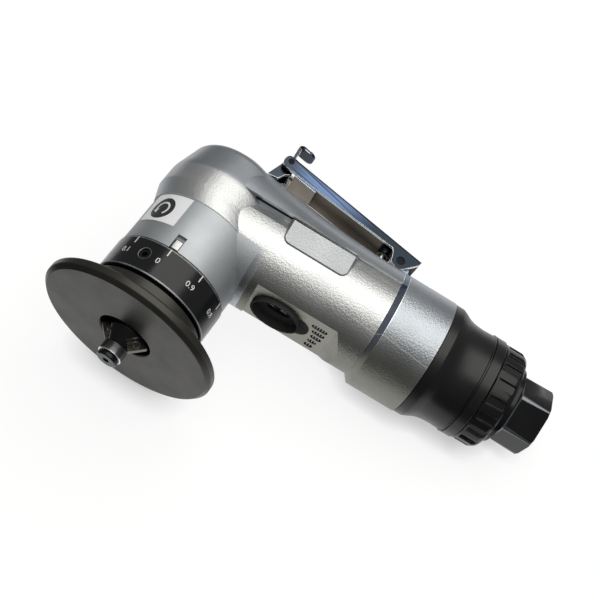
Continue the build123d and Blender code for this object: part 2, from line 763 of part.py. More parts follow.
# Bevel gear on the spindle
GEAR_OUTER = cone_point(GEAR_CONE, CONE_OUTER, -DEDENDUM)
GEAR_INNER = cone_point(GEAR_CONE, CONE_INNER, -DEDENDUM * CONE_INNER / CONE_OUTER)
GEAR_TOP = AXIS_HEIGHT - GEAR_INNER[1]
with BuildPart() as bevel_gear:
    revolve(
        section(
            HEAD,
            (SPINDLE_R, GEAR_HUB_BOTTOM),
            (GEAR_HUB_R, GEAR_HUB_BOTTOM),
            (GEAR_HUB_R, AXIS_HEIGHT - GEAR_OUTER[1] - 3.2),
            (GEAR_OUTER[0] - 0.8, AXIS_HEIGHT - GEAR_OUTER[1] - 2.0),
            (GEAR_OUTER[0], AXIS_HEIGHT - GEAR_OUTER[1]),
            (GEAR_INNER[0], GEAR_TOP),
            (SPINDLE_R, GEAR_TOP),
        ),
        axis=Axis.Z,
    )
    for tooth in range(GEAR_TEETH):
        out = Vector(1, 0, 0).rotate(Axis.Z, 360 / GEAR_TEETH * tooth)
        down = Vector(0, 0, -1)
        loft(
            [tooth_face(down, out, GEAR_CONE, CONE_OUTER), tooth_face(down, out, GEAR_CONE, CONE_INNER)],
            ruled=True,
        )
write(bevel_gear, "bevel_gear")

with BuildPart() as gear_nut:
    with BuildSketch(Plane.XY.offset(GEAR_TOP)) as nut_face:
        RegularPolygon(GEAR_NUT_R, 6)
        Circle(SPINDLE_R, mode=Mode.SUBTRACT)
    extrude(nut_face.sketch, amount=GEAR_NUT_THICK)
write(gear_nut, "gear_nut")

# Bevel pinion on the rotor shaft, a tooth gap facing the gear
PINION_OUTER = cone_point(PINION_CONE, CONE_OUTER, -DEDENDUM)
PINION_INNER = cone_point(PINION_CONE, CONE_INNER, -DEDENDUM * CONE_INNER / CONE_OUTER)
with BuildPart() as bevel_pinion:
    revolve(
        section(
            HANDLE,
            (PINION_BORE_R, PINION_INNER[1]),
            PINION_INNER,
            PINION_OUTER,
            (PINION_HUB_R, PINION_OUTER[1] + 0.8),
            (PINION_HUB_R, MOTOR_S),
            (PINION_BORE_R, MOTOR_S),
        ),
        axis=HANDLE_AXIS,
    )
    for tooth in range(PINION_TEETH):
        turn = 360 / PINION_TEETH * (tooth + 0.5)
        out = (-HANDLE_UP).rotate(Axis((0, 0, 0), HANDLE_DIR), turn)
        loft(
            [
                tooth_face(HANDLE_DIR, out, PINION_CONE, CONE_OUTER),
                tooth_face(HANDLE_DIR, out, PINION_CONE, CONE_INNER),
            ],
            ruled=True,
        )
write(bevel_pinion, "bevel_pinion")

# Ball bearings of the spindle, the rotor and the guide roller
BEARINGS = (
    ("spindle_lower_bearing", HEAD, Plane.XY, LOWER_BEARING_Z, LOWER_BEARING, 9),
    ("spindle_upper_bearing", HEAD, Plane.XY, UPPER_BEARING_Z, UPPER_BEARING, 7),
    ("rotor_front_bearing", HANDLE, ACROSS, MOTOR_S, FRONT_BEARING, 9),
    ("rotor_rear_bearing", HANDLE, ACROSS, REAR_BEARING_S, REAR_BEARING, 8),
    ("guide_roller", HEAD, Plane.XY, ROLLER_Z, ROLLER_BEARING, 7),
)
for bearing_name, turning, crossing, start, (bore, outer, width), balls in BEARINGS:
    pitch = (bore + outer) / 2
    ball = 0.28 * (outer - bore)
    middle = start + width / 2
    shaft_axis = Axis(turning.origin, turning.y_dir)
    with BuildPart() as outer_ring:
        revolve(ring(turning, pitch + 0.55 * ball, outer, start, start + width), axis=shaft_axis)
        race = disc(turning, pitch, middle, ball + RUN)
        revolve(race, axis=shaft_axis, mode=Mode.SUBTRACT)
    write(outer_ring, f"{bearing_name}_outer")
    with BuildPart() as inner_ring:
        revolve(ring(turning, bore, pitch - 0.55 * ball, start, start + width), axis=shaft_axis)
        revolve(race, axis=shaft_axis, mode=Mode.SUBTRACT)
    write(inner_ring, f"{bearing_name}_inner")
    with BuildPart(crossing.offset(middle)) as ball_set:
        with PolarLocations(pitch, balls):
            Sphere(ball)
    write(ball_set, f"{bearing_name}_balls")

# Cutter body, inserts and insert screws
INSERT_CORNERS = (
    (INSERT_TOP_R + CUTTER_BOTTOM, CUTTER_BOTTOM),
    (INSERT_TOP_R, 0),
    (INSERT_TOP_R - INSERT_DEPTH * 0.7071, INSERT_DEPTH * 0.7071),
    (INSERT_TOP_R + CUTTER_BOTTOM - INSERT_DEPTH * 0.7071, CUTTER_BOTTOM + INSERT_DEPTH * 0.7071),
)
INSERT_MIDDLE = (
    INSERT_TOP_R + CUTTER_BOTTOM / 2 - INSERT_DEPTH * 0.3536,
    CUTTER_BOTTOM / 2 + INSERT_DEPTH * 0.3536,
)
INSERT_PLANES = []
for angle in (CUTTER_ANGLE, CUTTER_ANGLE + 180):
    out = Vector(cos(radians(angle)), sin(radians(angle)), 0)
    INSERT_PLANES.append(Plane(origin=(0, 0, 0), x_dir=out, z_dir=out.cross(Vector(0, 0, 1))))

with BuildPart() as cutter_body:
    revolve(
        section(
            HEAD,
            (0, CUTTER_BOTTOM),
            (CUTTER_TIP_R, CUTTER_BOTTOM),
            (CUTTER_R - 0.6, 0.6),
            (CUTTER_R, 2.6),
            (CUTTER_R, CUTTER_TOP),
            (0, CUTTER_TOP),
        ),
        axis=Axis.Z,
    )
    revolve(
        ring(HEAD, 0, STUD_R + SEAT, CUTTER_TOP - STUD_LENGTH - 0.4, CUTTER_TOP),
        axis=Axis.Z,
        mode=Mode.SUBTRACT,
    )
    revolve(
        ring(HEAD, 0, ROLLER_BEARING[0] + SEAT, CUTTER_BOTTOM, CUTTER_BOTTOM + ROLLER_THREAD + 0.3),
        axis=Axis.Z,
        mode=Mode.SUBTRACT,
    )
    for plane in INSERT_PLANES:
        with BuildSketch(plane) as pocket:
            with BuildLine():
                Polyline(*INSERT_CORNERS, close=True)
            make_face()
            offset(amount=SEAT)
        extrude(pocket.sketch, amount=12, mode=Mode.SUBTRACT)
        hole = disc(plane, *INSERT_MIDDLE, 0.9 + SEAT)
        extrude(hole, amount=-2.2, mode=Mode.SUBTRACT)
write(cutter_body, "cutter_body")

with BuildPart() as cutter_inserts:
    for plane in INSERT_PLANES:
        extrude(section(plane.offset(SEAT), *INSERT_CORNERS), amount=INSERT_THICK)
        extrude(disc(plane, *INSERT_MIDDLE, 0.9 + 2 * SEAT), amount=INSERT_THICK + 1, mode=Mode.SUBTRACT)
        extrude(disc(plane.offset(INSERT_THICK - 0.6), *INSERT_MIDDLE, 1.5 + SEAT), amount=2, mode=Mode.SUBTRACT)
write(cutter_inserts, "cutter_inserts")

with BuildPart() as insert_screws:
    for plane in INSERT_PLANES:
        extrude(disc(plane.offset(-2.0), *INSERT_MIDDLE, 0.9), amount=INSERT_THICK + 1.6)
        extrude(disc(plane.offset(INSERT_THICK - 0.55), *INSERT_MIDDLE, 1.5), amount=0.9)
write(insert_screws, "insert_screws")

# End screw under the guide roller
with BuildPart() as roller_screw:
    revolve(
        section(
            HEAD,
            (0, ROLLER_Z - ROLLER_NECK - ROLLER_HEAD),
            (ROLLER_HEAD_R - 0.4, ROLLER_Z - ROLLER_NECK - ROLLER_HEAD),
            (ROLLER_HEAD_R, ROLLER_Z - ROLLER_NECK - ROLLER_HEAD + 0.4),
            (ROLLER_HEAD_R, ROLLER_Z - ROLLER_NECK),
            (ROLLER_BEARING[0] + 0.7, ROLLER_Z - ROLLER_NECK),
            (ROLLER_BEARING[0] + 0.7, ROLLER_Z),
            (ROLLER_BEARING[0] - SEAT, ROLLER_Z),
            (ROLLER_BEARING[0] - SEAT, CUTTER_BOTTOM + ROLLER_THREAD),
            (0, CUTTER_BOTTOM + ROLLER_THREAD),
        ),
        axis=Axis.Z,
    )
    with BuildSketch(Plane.XY.offset(ROLLER_Z - ROLLER_NECK - ROLLER_HEAD)) as hex_socket:
        RegularPolygon(1.45, 6)
    extrude(hex_socket.sketch, amount=1.3, mode=Mode.SUBTRACT)
write(roller_screw, "roller_screw")

# Air motor
with BuildPart() as front_plate:
    revolve(
        section(
            HANDLE,
            (FRONT_BEARING[1] + SEAT, MOTOR_S),
            (MOTOR_R - SEAT, MOTOR_S),
            (MOTOR_R - SEAT, MOTOR_FRONT),
            (ROTOR_SHAFT_R + RUN, MOTOR_FRONT),
            (ROTOR_SHAFT_R + RUN, MOTOR_S + FRONT_BEARING[2]),
            (FRONT_BEARING[1] + SEAT, MOTOR_S + FRONT_BEARING[2]),
        ),
        axis=HANDLE_AXIS,
    )
write(front_plate, "front_plate")

with BuildPart() as motor_cylinder:
    revolve(ring(HANDLE, 0, MOTOR_R - SEAT, MOTOR_FRONT, MOTOR_REAR), axis=HANDLE_AXIS)
    bore = disc(ACROSS.offset(MOTOR_FRONT), 0, -OFFSET, CYLINDER_BORE_R)
    extrude(bore, amount=MOTOR_LENGTH, mode=Mode.SUBTRACT)
    for along in (0.25, 0.5, 0.75):
        port = Plane(
            origin=station(MOTOR_FRONT + MOTOR_LENGTH * along, 0), x_dir=HANDLE_DIR, z_dir=-HANDLE_UP
        )
        extrude(disc(port, 0, 0, 1.6), amount=20, mode=Mode.SUBTRACT)
write(motor_cylinder, "motor_cylinder")

with BuildPart() as rotor:
    revolve(
        section(
            HANDLE,
            (0, PINION_INNER[1] + 0.4),
            (PINION_BORE_R - SEAT, PINION_INNER[1] + 0.4),
            (PINION_BORE_R - SEAT, MOTOR_S),
            (FRONT_BEARING[0] - SEAT, MOTOR_S),
            (FRONT_BEARING[0] - SEAT, MOTOR_S + FRONT_BEARING[2]),
            (ROTOR_SHAFT_R, MOTOR_S + FRONT_BEARING[2]),
            (ROTOR_SHAFT_R, MOTOR_FRONT + RUN),
            (ROTOR_R, MOTOR_FRONT + RUN),
            (ROTOR_R, MOTOR_REAR - RUN),
            (REAR_BEARING[0] - SEAT, MOTOR_REAR - RUN),
            (REAR_BEARING[0] - SEAT, BLOCK_S - 0.2),
            (0, BLOCK_S - 0.2),
        ),
        axis=HANDLE_AXIS,
    )
    for vane in range(VANES):
        face = spoke(MOTOR_FRONT, 360 / VANES * vane + 45)
        slot = bar(face, ROTOR_R - VANE_DEPTH / 2 + 1, 0, VANE_DEPTH + 2, VANE_THICK + 2 * SEAT)
        extrude(slot, amount=MOTOR_LENGTH, mode=Mode.SUBTRACT)
write(rotor, "rotor")

with BuildPart() as vanes:
    for vane in range(VANES):
        face = spoke(MOTOR_FRONT + RUN, 360 / VANES * vane + 45)
        blade = bar(face, ROTOR_R - VANE_DEPTH / 2 + 0.06, 0, VANE_DEPTH - 0.1, VANE_THICK)
        extrude(blade, amount=MOTOR_LENGTH - 2 * RUN)
write(vanes, "vanes")

with BuildPart() as rear_plate:
    revolve(
        section(
            HANDLE,
            (REAR_BEARING[0] + RUN, MOTOR_REAR),
            (MOTOR_R - SEAT, MOTOR_REAR),
            (MOTOR_R - SEAT, BLOCK_S),
            (REAR_BEARING[1] + SEAT, BLOCK_S),
            (REAR_BEARING[1] + SEAT, REAR_BEARING_S),
            (REAR_BEARING[0] + RUN, REAR_BEARING_S),
        ),
        axis=HANDLE_AXIS,
    )
write(rear_plate, "rear_plate")

# Valve block behind the motor, its O-ring and clamp nut
with BuildPart() as valve_block:
    revolve(
        section(
            HANDLE,
            (0, BLOCK_S),
            (MOTOR_R - SEAT, BLOCK_S),
            (MOTOR_R - SEAT, FLANGE_S),
            (FLANGE_R - SEAT, FLANGE_S),
            (FLANGE_R - SEAT, FLANGE_S + 0.8),
            (FLANGE_R - 2 * ORING_R, FLANGE_S + 0.8),
            (FLANGE_R - 2 * ORING_R, FLANGE_S + 0.9 + 2 * ORING_R),
            (FLANGE_R - SEAT, FLANGE_S + 0.9 + 2 * ORING_R),
            (FLANGE_R - SEAT, CLAMP_S),
            (AIR_BORE_R + 1, CLAMP_S),
            (AIR_BORE_R + 1, VALVE_S + 1),
            (0, VALVE_S + 1),
        ),
        axis=HANDLE_AXIS,
    )
    extrude(disc(VALVE.offset(SPRING_FLOOR), 0, 0, BUSH_R + SEAT), amount=20, mode=Mode.SUBTRACT)
write(valve_block, "valve_block")

with BuildPart() as block_seal:
    revolve(
        disc(HANDLE, FLANGE_R - ORING_R - SEAT, FLANGE_S + 0.85 + ORING_R, ORING_R - SEAT),
        axis=HANDLE_AXIS,
    )
write(block_seal, "block_seal")

with BuildPart() as clamp_nut:
    revolve(ring(HANDLE, SPOUT_R + RUN, FLANGE_R - SEAT, CLAMP_S, CLAMP_END), axis=HANDLE_AXIS)
    for angle in (0, 90, 180, 270):
        x, y = 15 * cos(radians(angle)), 15 * sin(radians(angle))
        extrude(disc(ACROSS.offset(CLAMP_END), x, y, 1.2), amount=-2, mode=Mode.SUBTRACT)
write(clamp_nut, "clamp_nut")

# Throttle bush, plunger, its seal and spring
VALVE_TURN = Plane(origin=VALVE.origin, x_dir=HANDLE_DIR, z_dir=(0, -1, 0))  # (radius, height)
VALVE_AXIS = Axis(VALVE.origin, HANDLE_UP)
HEAD_TOP = CHAMBER_TOP - 2 * SEAL_WIRE - GAP
PLUNGER_TOP = NUB_U - RUN

with BuildPart() as throttle_bush:
    revolve(
        section(
            VALVE_TURN,
            (CHAMBER_R, BUSH_BOTTOM),
            (BUSH_R, BUSH_BOTTOM),
            (BUSH_R, BUSH_TOP),
            (STEM_R + RUN, BUSH_TOP),
            (STEM_R + RUN, CHAMBER_TOP),
            (CHAMBER_R, CHAMBER_TOP),
        ),
        axis=VALVE_AXIS,
    )
    cross_port = Plane(origin=station(VALVE_S, 7.6), x_dir=(0, 1, 0), z_dir=HANDLE_DIR)
    extrude(disc(cross_port, 0, 0, 1.8), amount=10, both=True, mode=Mode.SUBTRACT)
write(throttle_bush, "throttle_bush")

with BuildPart() as valve_plunger:
    revolve(
        section(
            VALVE_TURN,
            (0, HEAD_TOP - VALVE_HEAD),
            (VALVE_HEAD_R, HEAD_TOP - VALVE_HEAD),
            (VALVE_HEAD_R, HEAD_TOP),
            (STEM_R, HEAD_TOP),
            (STEM_R, PLUNGER_TOP - 0.5),
            (STEM_R - 0.5, PLUNGER_TOP),
            (0, PLUNGER_TOP),
        ),
        axis=VALVE_AXIS,
    )
write(valve_plunger, "valve_plunger")

with BuildPart() as plunger_seal:
    revolve(
        disc(VALVE_TURN, STEM_R + SEAL_WIRE + SEAT, HEAD_TOP + SEAL_WIRE, SEAL_WIRE),
        axis=VALVE_AXIS,
    )
write(plunger_seal, "plunger_seal")

with BuildPart() as valve_spring:
    revolve(ring(VALVE_TURN, 1.9, 2.6, SPRING_FLOOR, HEAD_TOP - VALVE_HEAD), axis=VALVE_AXIS)
write(valve_spring, "valve_spring")

# Lever, a pressed channel, with its pin
with BuildPart() as lever:
    with BuildSketch(LEVER) as lever_outline:
        corner = FRONT_EAR_R * sqrt(0.5)
        with BuildLine():
            ThreePointArc(
                (LEVER_REACH, FLANGE_HIGH),
                (LEVER_REACH + corner, CATCH_PIN_H + corner),
                (LEVER_REACH + FRONT_EAR_R, CATCH_PIN_H),
            )
            ThreePointArc(
                (LEVER_REACH + FRONT_EAR_R, CATCH_PIN_H),
                (LEVER_REACH + corner, FLANGE_FRONT + FRONT_EAR_R - corner),
                (LEVER_REACH, FLANGE_FRONT),
            )
            Polyline(
                (LEVER_REACH, FLANGE_FRONT),
                (5.6, FLANGE_REAR),
                (4.4, 0.8),
                (2.8, -EAR_LOW),
                (-2.4, -EAR_LOW),
                (-LEVER_TAIL, 3.6),
                (-LEVER_TAIL, FLANGE_HIGH),
                (LEVER_REACH, FLANGE_HIGH),
            )
        make_face()
        Circle(EAR_R)
    extrude(lever_outline.sketch, amount=LEVER_HALF, both=True)
    with BuildSketch(LEVER_ACROSS) as lever_section:
        with Locations((0, FLANGE_HIGH - LEVER_HALF)):
            Rectangle(2 * LEVER_HALF, 2 * LEVER_HALF)
        fillet(lever_section.vertices().group_by(Axis.Y)[-1], radius=SHEET)
    extrude(
        lever_section.sketch,
        amount=LEVER_REACH + LEVER_TAIL,
        both=True,
        mode=Mode.INTERSECT,
    )
    inside = 2 * (LEVER_HALF - SHEET)
    channel = LEVER.offset(-inside / 2)
    extrude(
        section(
            channel,
            (-LEVER_TAIL - 1, FLANGE_HIGH - SHEET),
            (LEVER_REACH + 5, FLANGE_HIGH - SHEET),
            (LEVER_REACH + 5, -6),
            (-LEVER_TAIL - 1, -6),
        ),
        amount=inside,
        mode=Mode.SUBTRACT,
    )
    nub = disc(VALVE.offset(NUB_U), 0, 0, NUB_R)
    web_u = PIVOT_U + (FLANGE_HIGH - SHEET) / cos(LEVER_ANGLE)
    extrude(nub, amount=web_u + (PIVOT_S - VALVE_S) * tan(LEVER_ANGLE) + 0.6 - NUB_U)
    # tray under the slot that the catch swings through
    tray = section(
        LEVER,
        (SLOT_END - SHEET, FLANGE_HIGH - SHEET / 2),
        (SLOT_END - SHEET, CATCH_PIN_H - TRAY_LOW),
        (LEVER_REACH - TRAY_FRONT, CATCH_PIN_H - TRAY_LOW),
        (LEVER_REACH - TRAY_FRONT, FLANGE_HIGH - SHEET / 2),
    )
    extrude(tray, amount=LEVER_HALF - SHEET / 2, both=True)
    tray_room = section(
        LEVER,
        (SLOT_END, FLANGE_HIGH - SHEET),
        (SLOT_END, CATCH_PIN_H - TRAY_LOW + TRAY_FLOOR),
        (LEVER_REACH, CATCH_PIN_H - TRAY_LOW + TRAY_FLOOR),
        (LEVER_REACH, FLANGE_HIGH - SHEET),
    )
    extrude(tray_room, amount=CATCH_HALF + TRAY_SIDE, both=True, mode=Mode.SUBTRACT)
    slot = bar(LEVER, SLOT_END + SLOT_LENGTH, FLANGE_HIGH, 2 * SLOT_LENGTH, 3)
    extrude(slot, amount=CATCH_HALF + GAP, both=True, mode=Mode.SUBTRACT)
    extrude(disc(LEVER, 0, 0, LEVER_PIN_R + RUN), amount=20, both=True, mode=Mode.SUBTRACT)
    extrude(
        disc(LEVER, LEVER_REACH, CATCH_PIN_H, CATCH_PIN_R + SEAT),
        amount=20,
        both=True,
        mode=Mode.SUBTRACT,
    )
write(lever, "lever")

with BuildPart() as lever_pin:
    extrude(disc(SIDE, PIVOT_S, PIVOT_U, LEVER_PIN_R), amount=LEVER_HALF - PIN_SUNK, both=True)
write(lever_pin, "lever_pin")

# Safety catch on the lever's front pin
with BuildPart() as safety_catch:
    with BuildSketch(CATCH) as catch_outline:
        with BuildLine():
            Polyline(
                (-2.1, 0.6),
                (-5.7, -8.6),
                (-1.2, -7.9),
                (0.7, -4.8),
                (2.7, -3.4),
                (2.2, 0.0),
                (1.6, 3.8),
                (-0.4, 3.8),
                (-0.8, 2.2),
                close=True,
            )
        make_face()
        Circle(2.3)
    extrude(catch_outline.sketch, amount=CATCH_HALF, both=True)
    # thumb tab on its neck, lying back over the lever
    neck = section(CATCH, (-0.6, 3.0), (0.7, 3.0), (0.7, TAB_HIGH), (-0.6, TAB_HIGH))
    extrude(neck, amount=NECK_HALF, both=True)
    with BuildSketch(TAB) as tab_plan:
        RectangleRounded(TAB_LENGTH, 2 * TAB_HALF, TAB_CORNER)
    extrude(tab_plan.sketch, amount=-SHEET)
    hollow = CATCH.offset(-CATCH_INNER)
    extrude(
        section(hollow, (-8, -12), (8, -12), (8, 2.4), (-8, 2.4)),
        amount=2 * CATCH_INNER,
        mode=Mode.SUBTRACT,
    )
    extrude(disc(CATCH, 0, 0, CATCH_PIN_R + RUN), amount=20, both=True, mode=Mode.SUBTRACT)
write(safety_catch, "safety_catch")

with BuildPart() as catch_pin:
    extrude(disc(CATCH, 0, 0, CATCH_PIN_R), amount=LEVER_HALF - PIN_SUNK, both=True)
write(catch_pin, "catch_pin")

# Return spring of the catch, round its pin
with BuildPart() as catch_spring:
    coil = CATCH.offset(-CATCH_INNER + GAP)
    with BuildSketch(coil) as coil_face:
        Circle(CATCH_PIN_R + 0.75)
        Circle(CATCH_PIN_R + SEAT, mode=Mode.SUBTRACT)
    extrude(coil_face.sketch, amount=2 * (CATCH_INNER - GAP))
write(catch_spring, "catch_spring")

# Exhaust insert under the handle
with BuildPart() as exhaust_insert:
    exhaust_foot = UNDERSIDE.offset(-EXHAUST_BODY)
    extrude(exhaust_lobe(exhaust_foot, 0), amount=EXHAUST_BODY + LOBE_PROUD)
    extrude(exhaust_oval(exhaust_foot, 0), amount=EXHAUST_BODY + EXHAUST_PROUD)
    exhaust_face = UNDERSIDE.offset(EXHAUST_PROUD)
    extrude(exhaust_oval(exhaust_face, -EXHAUST_RIM), amount=-EXHAUST_DISH, mode=Mode.SUBTRACT)
    with BuildSketch(exhaust_face) as mouth:
        with Locations(((EXHAUST_START + EXHAUST_END) / 2, 0)):
            SlotOverall(10.0, 5.0)
    extrude(mouth.sketch, amount=-EXHAUST_BODY - EXHAUST_PROUD, mode=Mode.SUBTRACT)
write(exhaust_insert, "exhaust_insert")

# Rear cover
with BuildPart() as rear_cover:
    with BuildSketch(HANDLE) as cover_outline:
        with BuildLine():
            Polyline(
                (FELT_R + SEAT, CLAMP_END + GAP),
                (FLANGE_R - SEAT, CLAMP_END + GAP),
                (FLANGE_R - SEAT, BARREL_END),
                (COVER_BAND_R - 0.3, BARREL_END),
                (COVER_BAND_R, BARREL_END + 0.4),
                (COVER_BAND_R, BARREL_END + COVER_BAND),
            )
            Spline(
                (COVER_BAND_R, BARREL_END + COVER_BAND),
                (COVER_WAIST_R + 1.1, BARREL_END + 0.6 * COVER_WAIST),
                (COVER_WAIST_R, BARREL_END + COVER_WAIST),
                (COVER_WAIST_R + 0.1, COVER_END - COVER_TAIL),
                tangents=((-0.3, 1), (0.05, 1)),
            )
            Polyline(
                (COVER_WAIST_R + 0.1, COVER_END - COVER_TAIL),
                (COVER_WAIST_R + COVER_LIP, COVER_END - COVER_TAIL + 0.2),
                (COVER_WAIST_R + COVER_LIP, COVER_END - COVER_TAIL + 0.5),
                (COVER_WAIST_R - 0.2, COVER_END - COVER_TAIL + 0.6),
                (COVER_WAIST_R - 0.2, COVER_END - COVER_TAIL + 0.9),
                (COVER_WAIST_R + COVER_LIP - 0.1, COVER_END - COVER_TAIL + 1.0),
                (COVER_WAIST_R + COVER_LIP - 0.1, COVER_END - 0.3),
                (COVER_WAIST_R + 0.1, COVER_END),
                (SHANK_R + RUN, COVER_END),
                (SHANK_R + RUN, FELT_END + GAP),
                (FELT_R + SEAT, FELT_END + GAP),
                (FELT_R + SEAT, CLAMP_END + GAP),
            )
        make_face()
    revolve(cover_outline.sketch, axis=HANDLE_AXIS)
    for window in range(10):
        face = spoke(COVER_END, 36 * window)
        extrude(bar(face, 15.0, 0, 3.0, 4.2), amount=-20, mode=Mode.SUBTRACT)
write(rear_cover, "rear_cover")

with BuildPart() as silencer_felt:
    revolve(ring(HANDLE, FELT_BORE_R, FELT_R, FELT_START, FELT_END), axis=HANDLE_AXIS)
write(silencer_felt, "silencer_felt")

# Fluted regulator ring
with BuildPart() as regulator_ring:
    revolve(
        section(
            HANDLE,
            (SHANK_R + RUN, REGULATOR_S),
            (REGULATOR_R - 0.3, REGULATOR_S),
            (REGULATOR_R, REGULATOR_S + 0.3),
            (REGULATOR_R, REGULATOR_END - 2.4),
            (REGULATOR_R - 1.0, REGULATOR_END - 0.6),
            (REGULATOR_R - 2.4, REGULATOR_END),
            (SHANK_R + RUN, REGULATOR_END),
        ),
        axis=HANDLE_AXIS,
    )
    for flute in range(FLUTES):
        face = spoke(REGULATOR_S + 1.2, 360 / FLUTES * (flute + 0.5))
        extrude(bar(face, REGULATOR_R, 0, 2.0, 3.4), amount=REGULATOR_LENGTH - 2.6, mode=Mode.SUBTRACT)
write(regulator_ring, "regulator_ring")

# Hex inlet bushing with its strainer and O-ring
with BuildPart() as inlet_bushing:
    with BuildSketch(ACROSS.offset(HEX_S)) as hex_face:
        RegularPolygon(HEX_ACROSS / 2, 6, major_radius=False, rotation=0)
    extrude(hex_face.sketch, amount=INLET_END - HEX_S)
    hex_corner = HEX_ACROSS / sqrt(3)
    revolve(
        section(
            HANDLE,
            (hex_corner - 1.2, INLET_END),
            (hex_corner + 2, INLET_END),
            (hex_corner + 2, INLET_END - 2.2),
        ),
        axis=HANDLE_AXIS,
        mode=Mode.SUBTRACT,
    )
    revolve(
        section(
            HANDLE,
            (0, CLAMP_S + RUN),
            (SPOUT_R, CLAMP_S + RUN),
            (SPOUT_R, CLAMP_S + 1.2),
            (SPOUT_R - 2 * ORING_R, CLAMP_S + 1.2),
            (SPOUT_R - 2 * ORING_R, CLAMP_S + 1.3 + 2 * ORING_R),
            (SPOUT_R, CLAMP_S + 1.3 + 2 * ORING_R),
            (SPOUT_R, CLAMP_END + GAP),
            (SHANK_R, CLAMP_END + GAP),
            (SHANK_R, REGULATOR_END + RING_GAP),
            (15.6, REGULATOR_END + RING_GAP),
            (15.6, HEX_S - 0.6),
            (14.6, HEX_S),
            (0, HEX_S),
        ),
        axis=HANDLE_AXIS,
    )
    revolve(
        section(
            HANDLE,
            (0, CLAMP_S),
            (AIR_BORE_R, CLAMP_S),
            (AIR_BORE_R, INLET_END - INLET_THREAD),
            (INLET_THREAD_R, INLET_END - INLET_THREAD),
            (INLET_THREAD_R, INLET_END),
            (0, INLET_END),
        ),
        axis=HANDLE_AXIS,
        mode=Mode.SUBTRACT,
    )
write(inlet_bushing, "inlet_bushing")

with BuildPart() as inlet_strainer:
    revolve(
        section(
            HANDLE,
            (0, STRAINER_S),
            (AIR_BORE_R - 0.8, STRAINER_S),
            (AIR_BORE_R - SEAT, INLET_END - INLET_THREAD - 1.2),
            (AIR_BORE_R - SEAT, INLET_END - INLET_THREAD),
            (AIR_BORE_R - 1.2, INLET_END - INLET_THREAD),
            (AIR_BORE_R - 1.6, STRAINER_S + 0.8),
            (0, STRAINER_S + 0.8),
        ),
        axis=HANDLE_AXIS,
    )
write(inlet_strainer, "inlet_strainer")

with BuildPart() as inlet_seal:
    revolve(
        disc(HANDLE, SPOUT_R - ORING_R, CLAMP_S + 1.25 + ORING_R, ORING_R - SEAT),
        axis=HANDLE_AXIS,
    )
write(inlet_seal, "inlet_seal")
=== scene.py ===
# %% [markdown]
# # An air driven bevelling machine, dressed for its picture
# The CAD model gives every solid of the tool at its true place, in metres. This lesson
# dresses it: metals and plastics, the printed numbers, the small springs and threads, and
# a plain white table with soft light. The tool lies on its side, as it does in the picture.

import json
from math import cos, pi, radians, sin

import bmesh
import bpy
from mathutils import Matrix, Vector


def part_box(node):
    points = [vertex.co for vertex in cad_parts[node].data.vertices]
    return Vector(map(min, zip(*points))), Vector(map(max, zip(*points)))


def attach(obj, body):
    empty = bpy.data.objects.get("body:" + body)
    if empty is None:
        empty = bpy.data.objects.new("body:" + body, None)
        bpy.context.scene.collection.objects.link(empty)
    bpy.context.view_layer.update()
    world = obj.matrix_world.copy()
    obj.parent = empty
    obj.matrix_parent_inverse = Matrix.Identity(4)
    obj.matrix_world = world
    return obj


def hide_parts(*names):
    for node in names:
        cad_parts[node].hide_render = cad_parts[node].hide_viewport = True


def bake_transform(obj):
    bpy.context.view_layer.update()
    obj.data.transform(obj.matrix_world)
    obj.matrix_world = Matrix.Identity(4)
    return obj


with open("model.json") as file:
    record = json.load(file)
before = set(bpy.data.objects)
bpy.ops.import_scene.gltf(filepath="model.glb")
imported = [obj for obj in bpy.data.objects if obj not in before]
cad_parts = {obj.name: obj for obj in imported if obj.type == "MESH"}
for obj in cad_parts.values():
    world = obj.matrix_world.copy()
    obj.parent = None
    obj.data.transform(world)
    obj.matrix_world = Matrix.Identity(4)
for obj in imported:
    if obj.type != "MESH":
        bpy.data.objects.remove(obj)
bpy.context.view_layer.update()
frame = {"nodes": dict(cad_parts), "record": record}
nodes = frame["nodes"]
MM = 0.001

# %% [markdown]
# ## The two axes of the tool
# The cutter turns about the world's Z axis. The handle leaves it 55.2 mm up and rises by five
# degrees. Most pieces are turned about one of these two lines, so both get a name here, and
# `on_handle` finds a point from its distance along the handle and its height across it.

# %% Axes
AXIS_HEIGHT, HANDLE_LENGTH = 55.2, 143.2
HANDLE_TILT = radians(5)
HANDLE_START = Vector((0, 0, AXIS_HEIGHT)) * MM
HANDLE_DIR = Vector((cos(HANDLE_TILT), 0, sin(HANDLE_TILT)))
HANDLE_UP = Vector((-sin(HANDLE_TILT), 0, cos(HANDLE_TILT)))
SIDEWAYS = Vector((0, 1, 0))


def on_handle(along, up, side=0):
    """Point at millimetres along the handle, up across it and to the side."""
    return HANDLE_START + (HANDLE_DIR * along + HANDLE_UP * up + SIDEWAYS * side) * MM


print("handle ends at", [round(v, 4) for v in on_handle(HANDLE_LENGTH, 0)])

# %% [markdown]
# ## Camera, white board and light
# The camera's place and turn come from fitting the picture's outlines: about 0.43 m away, a
# little in front of the plate, through a 72 mm lens. Its three columns are its right, its up
# and its backward direction.

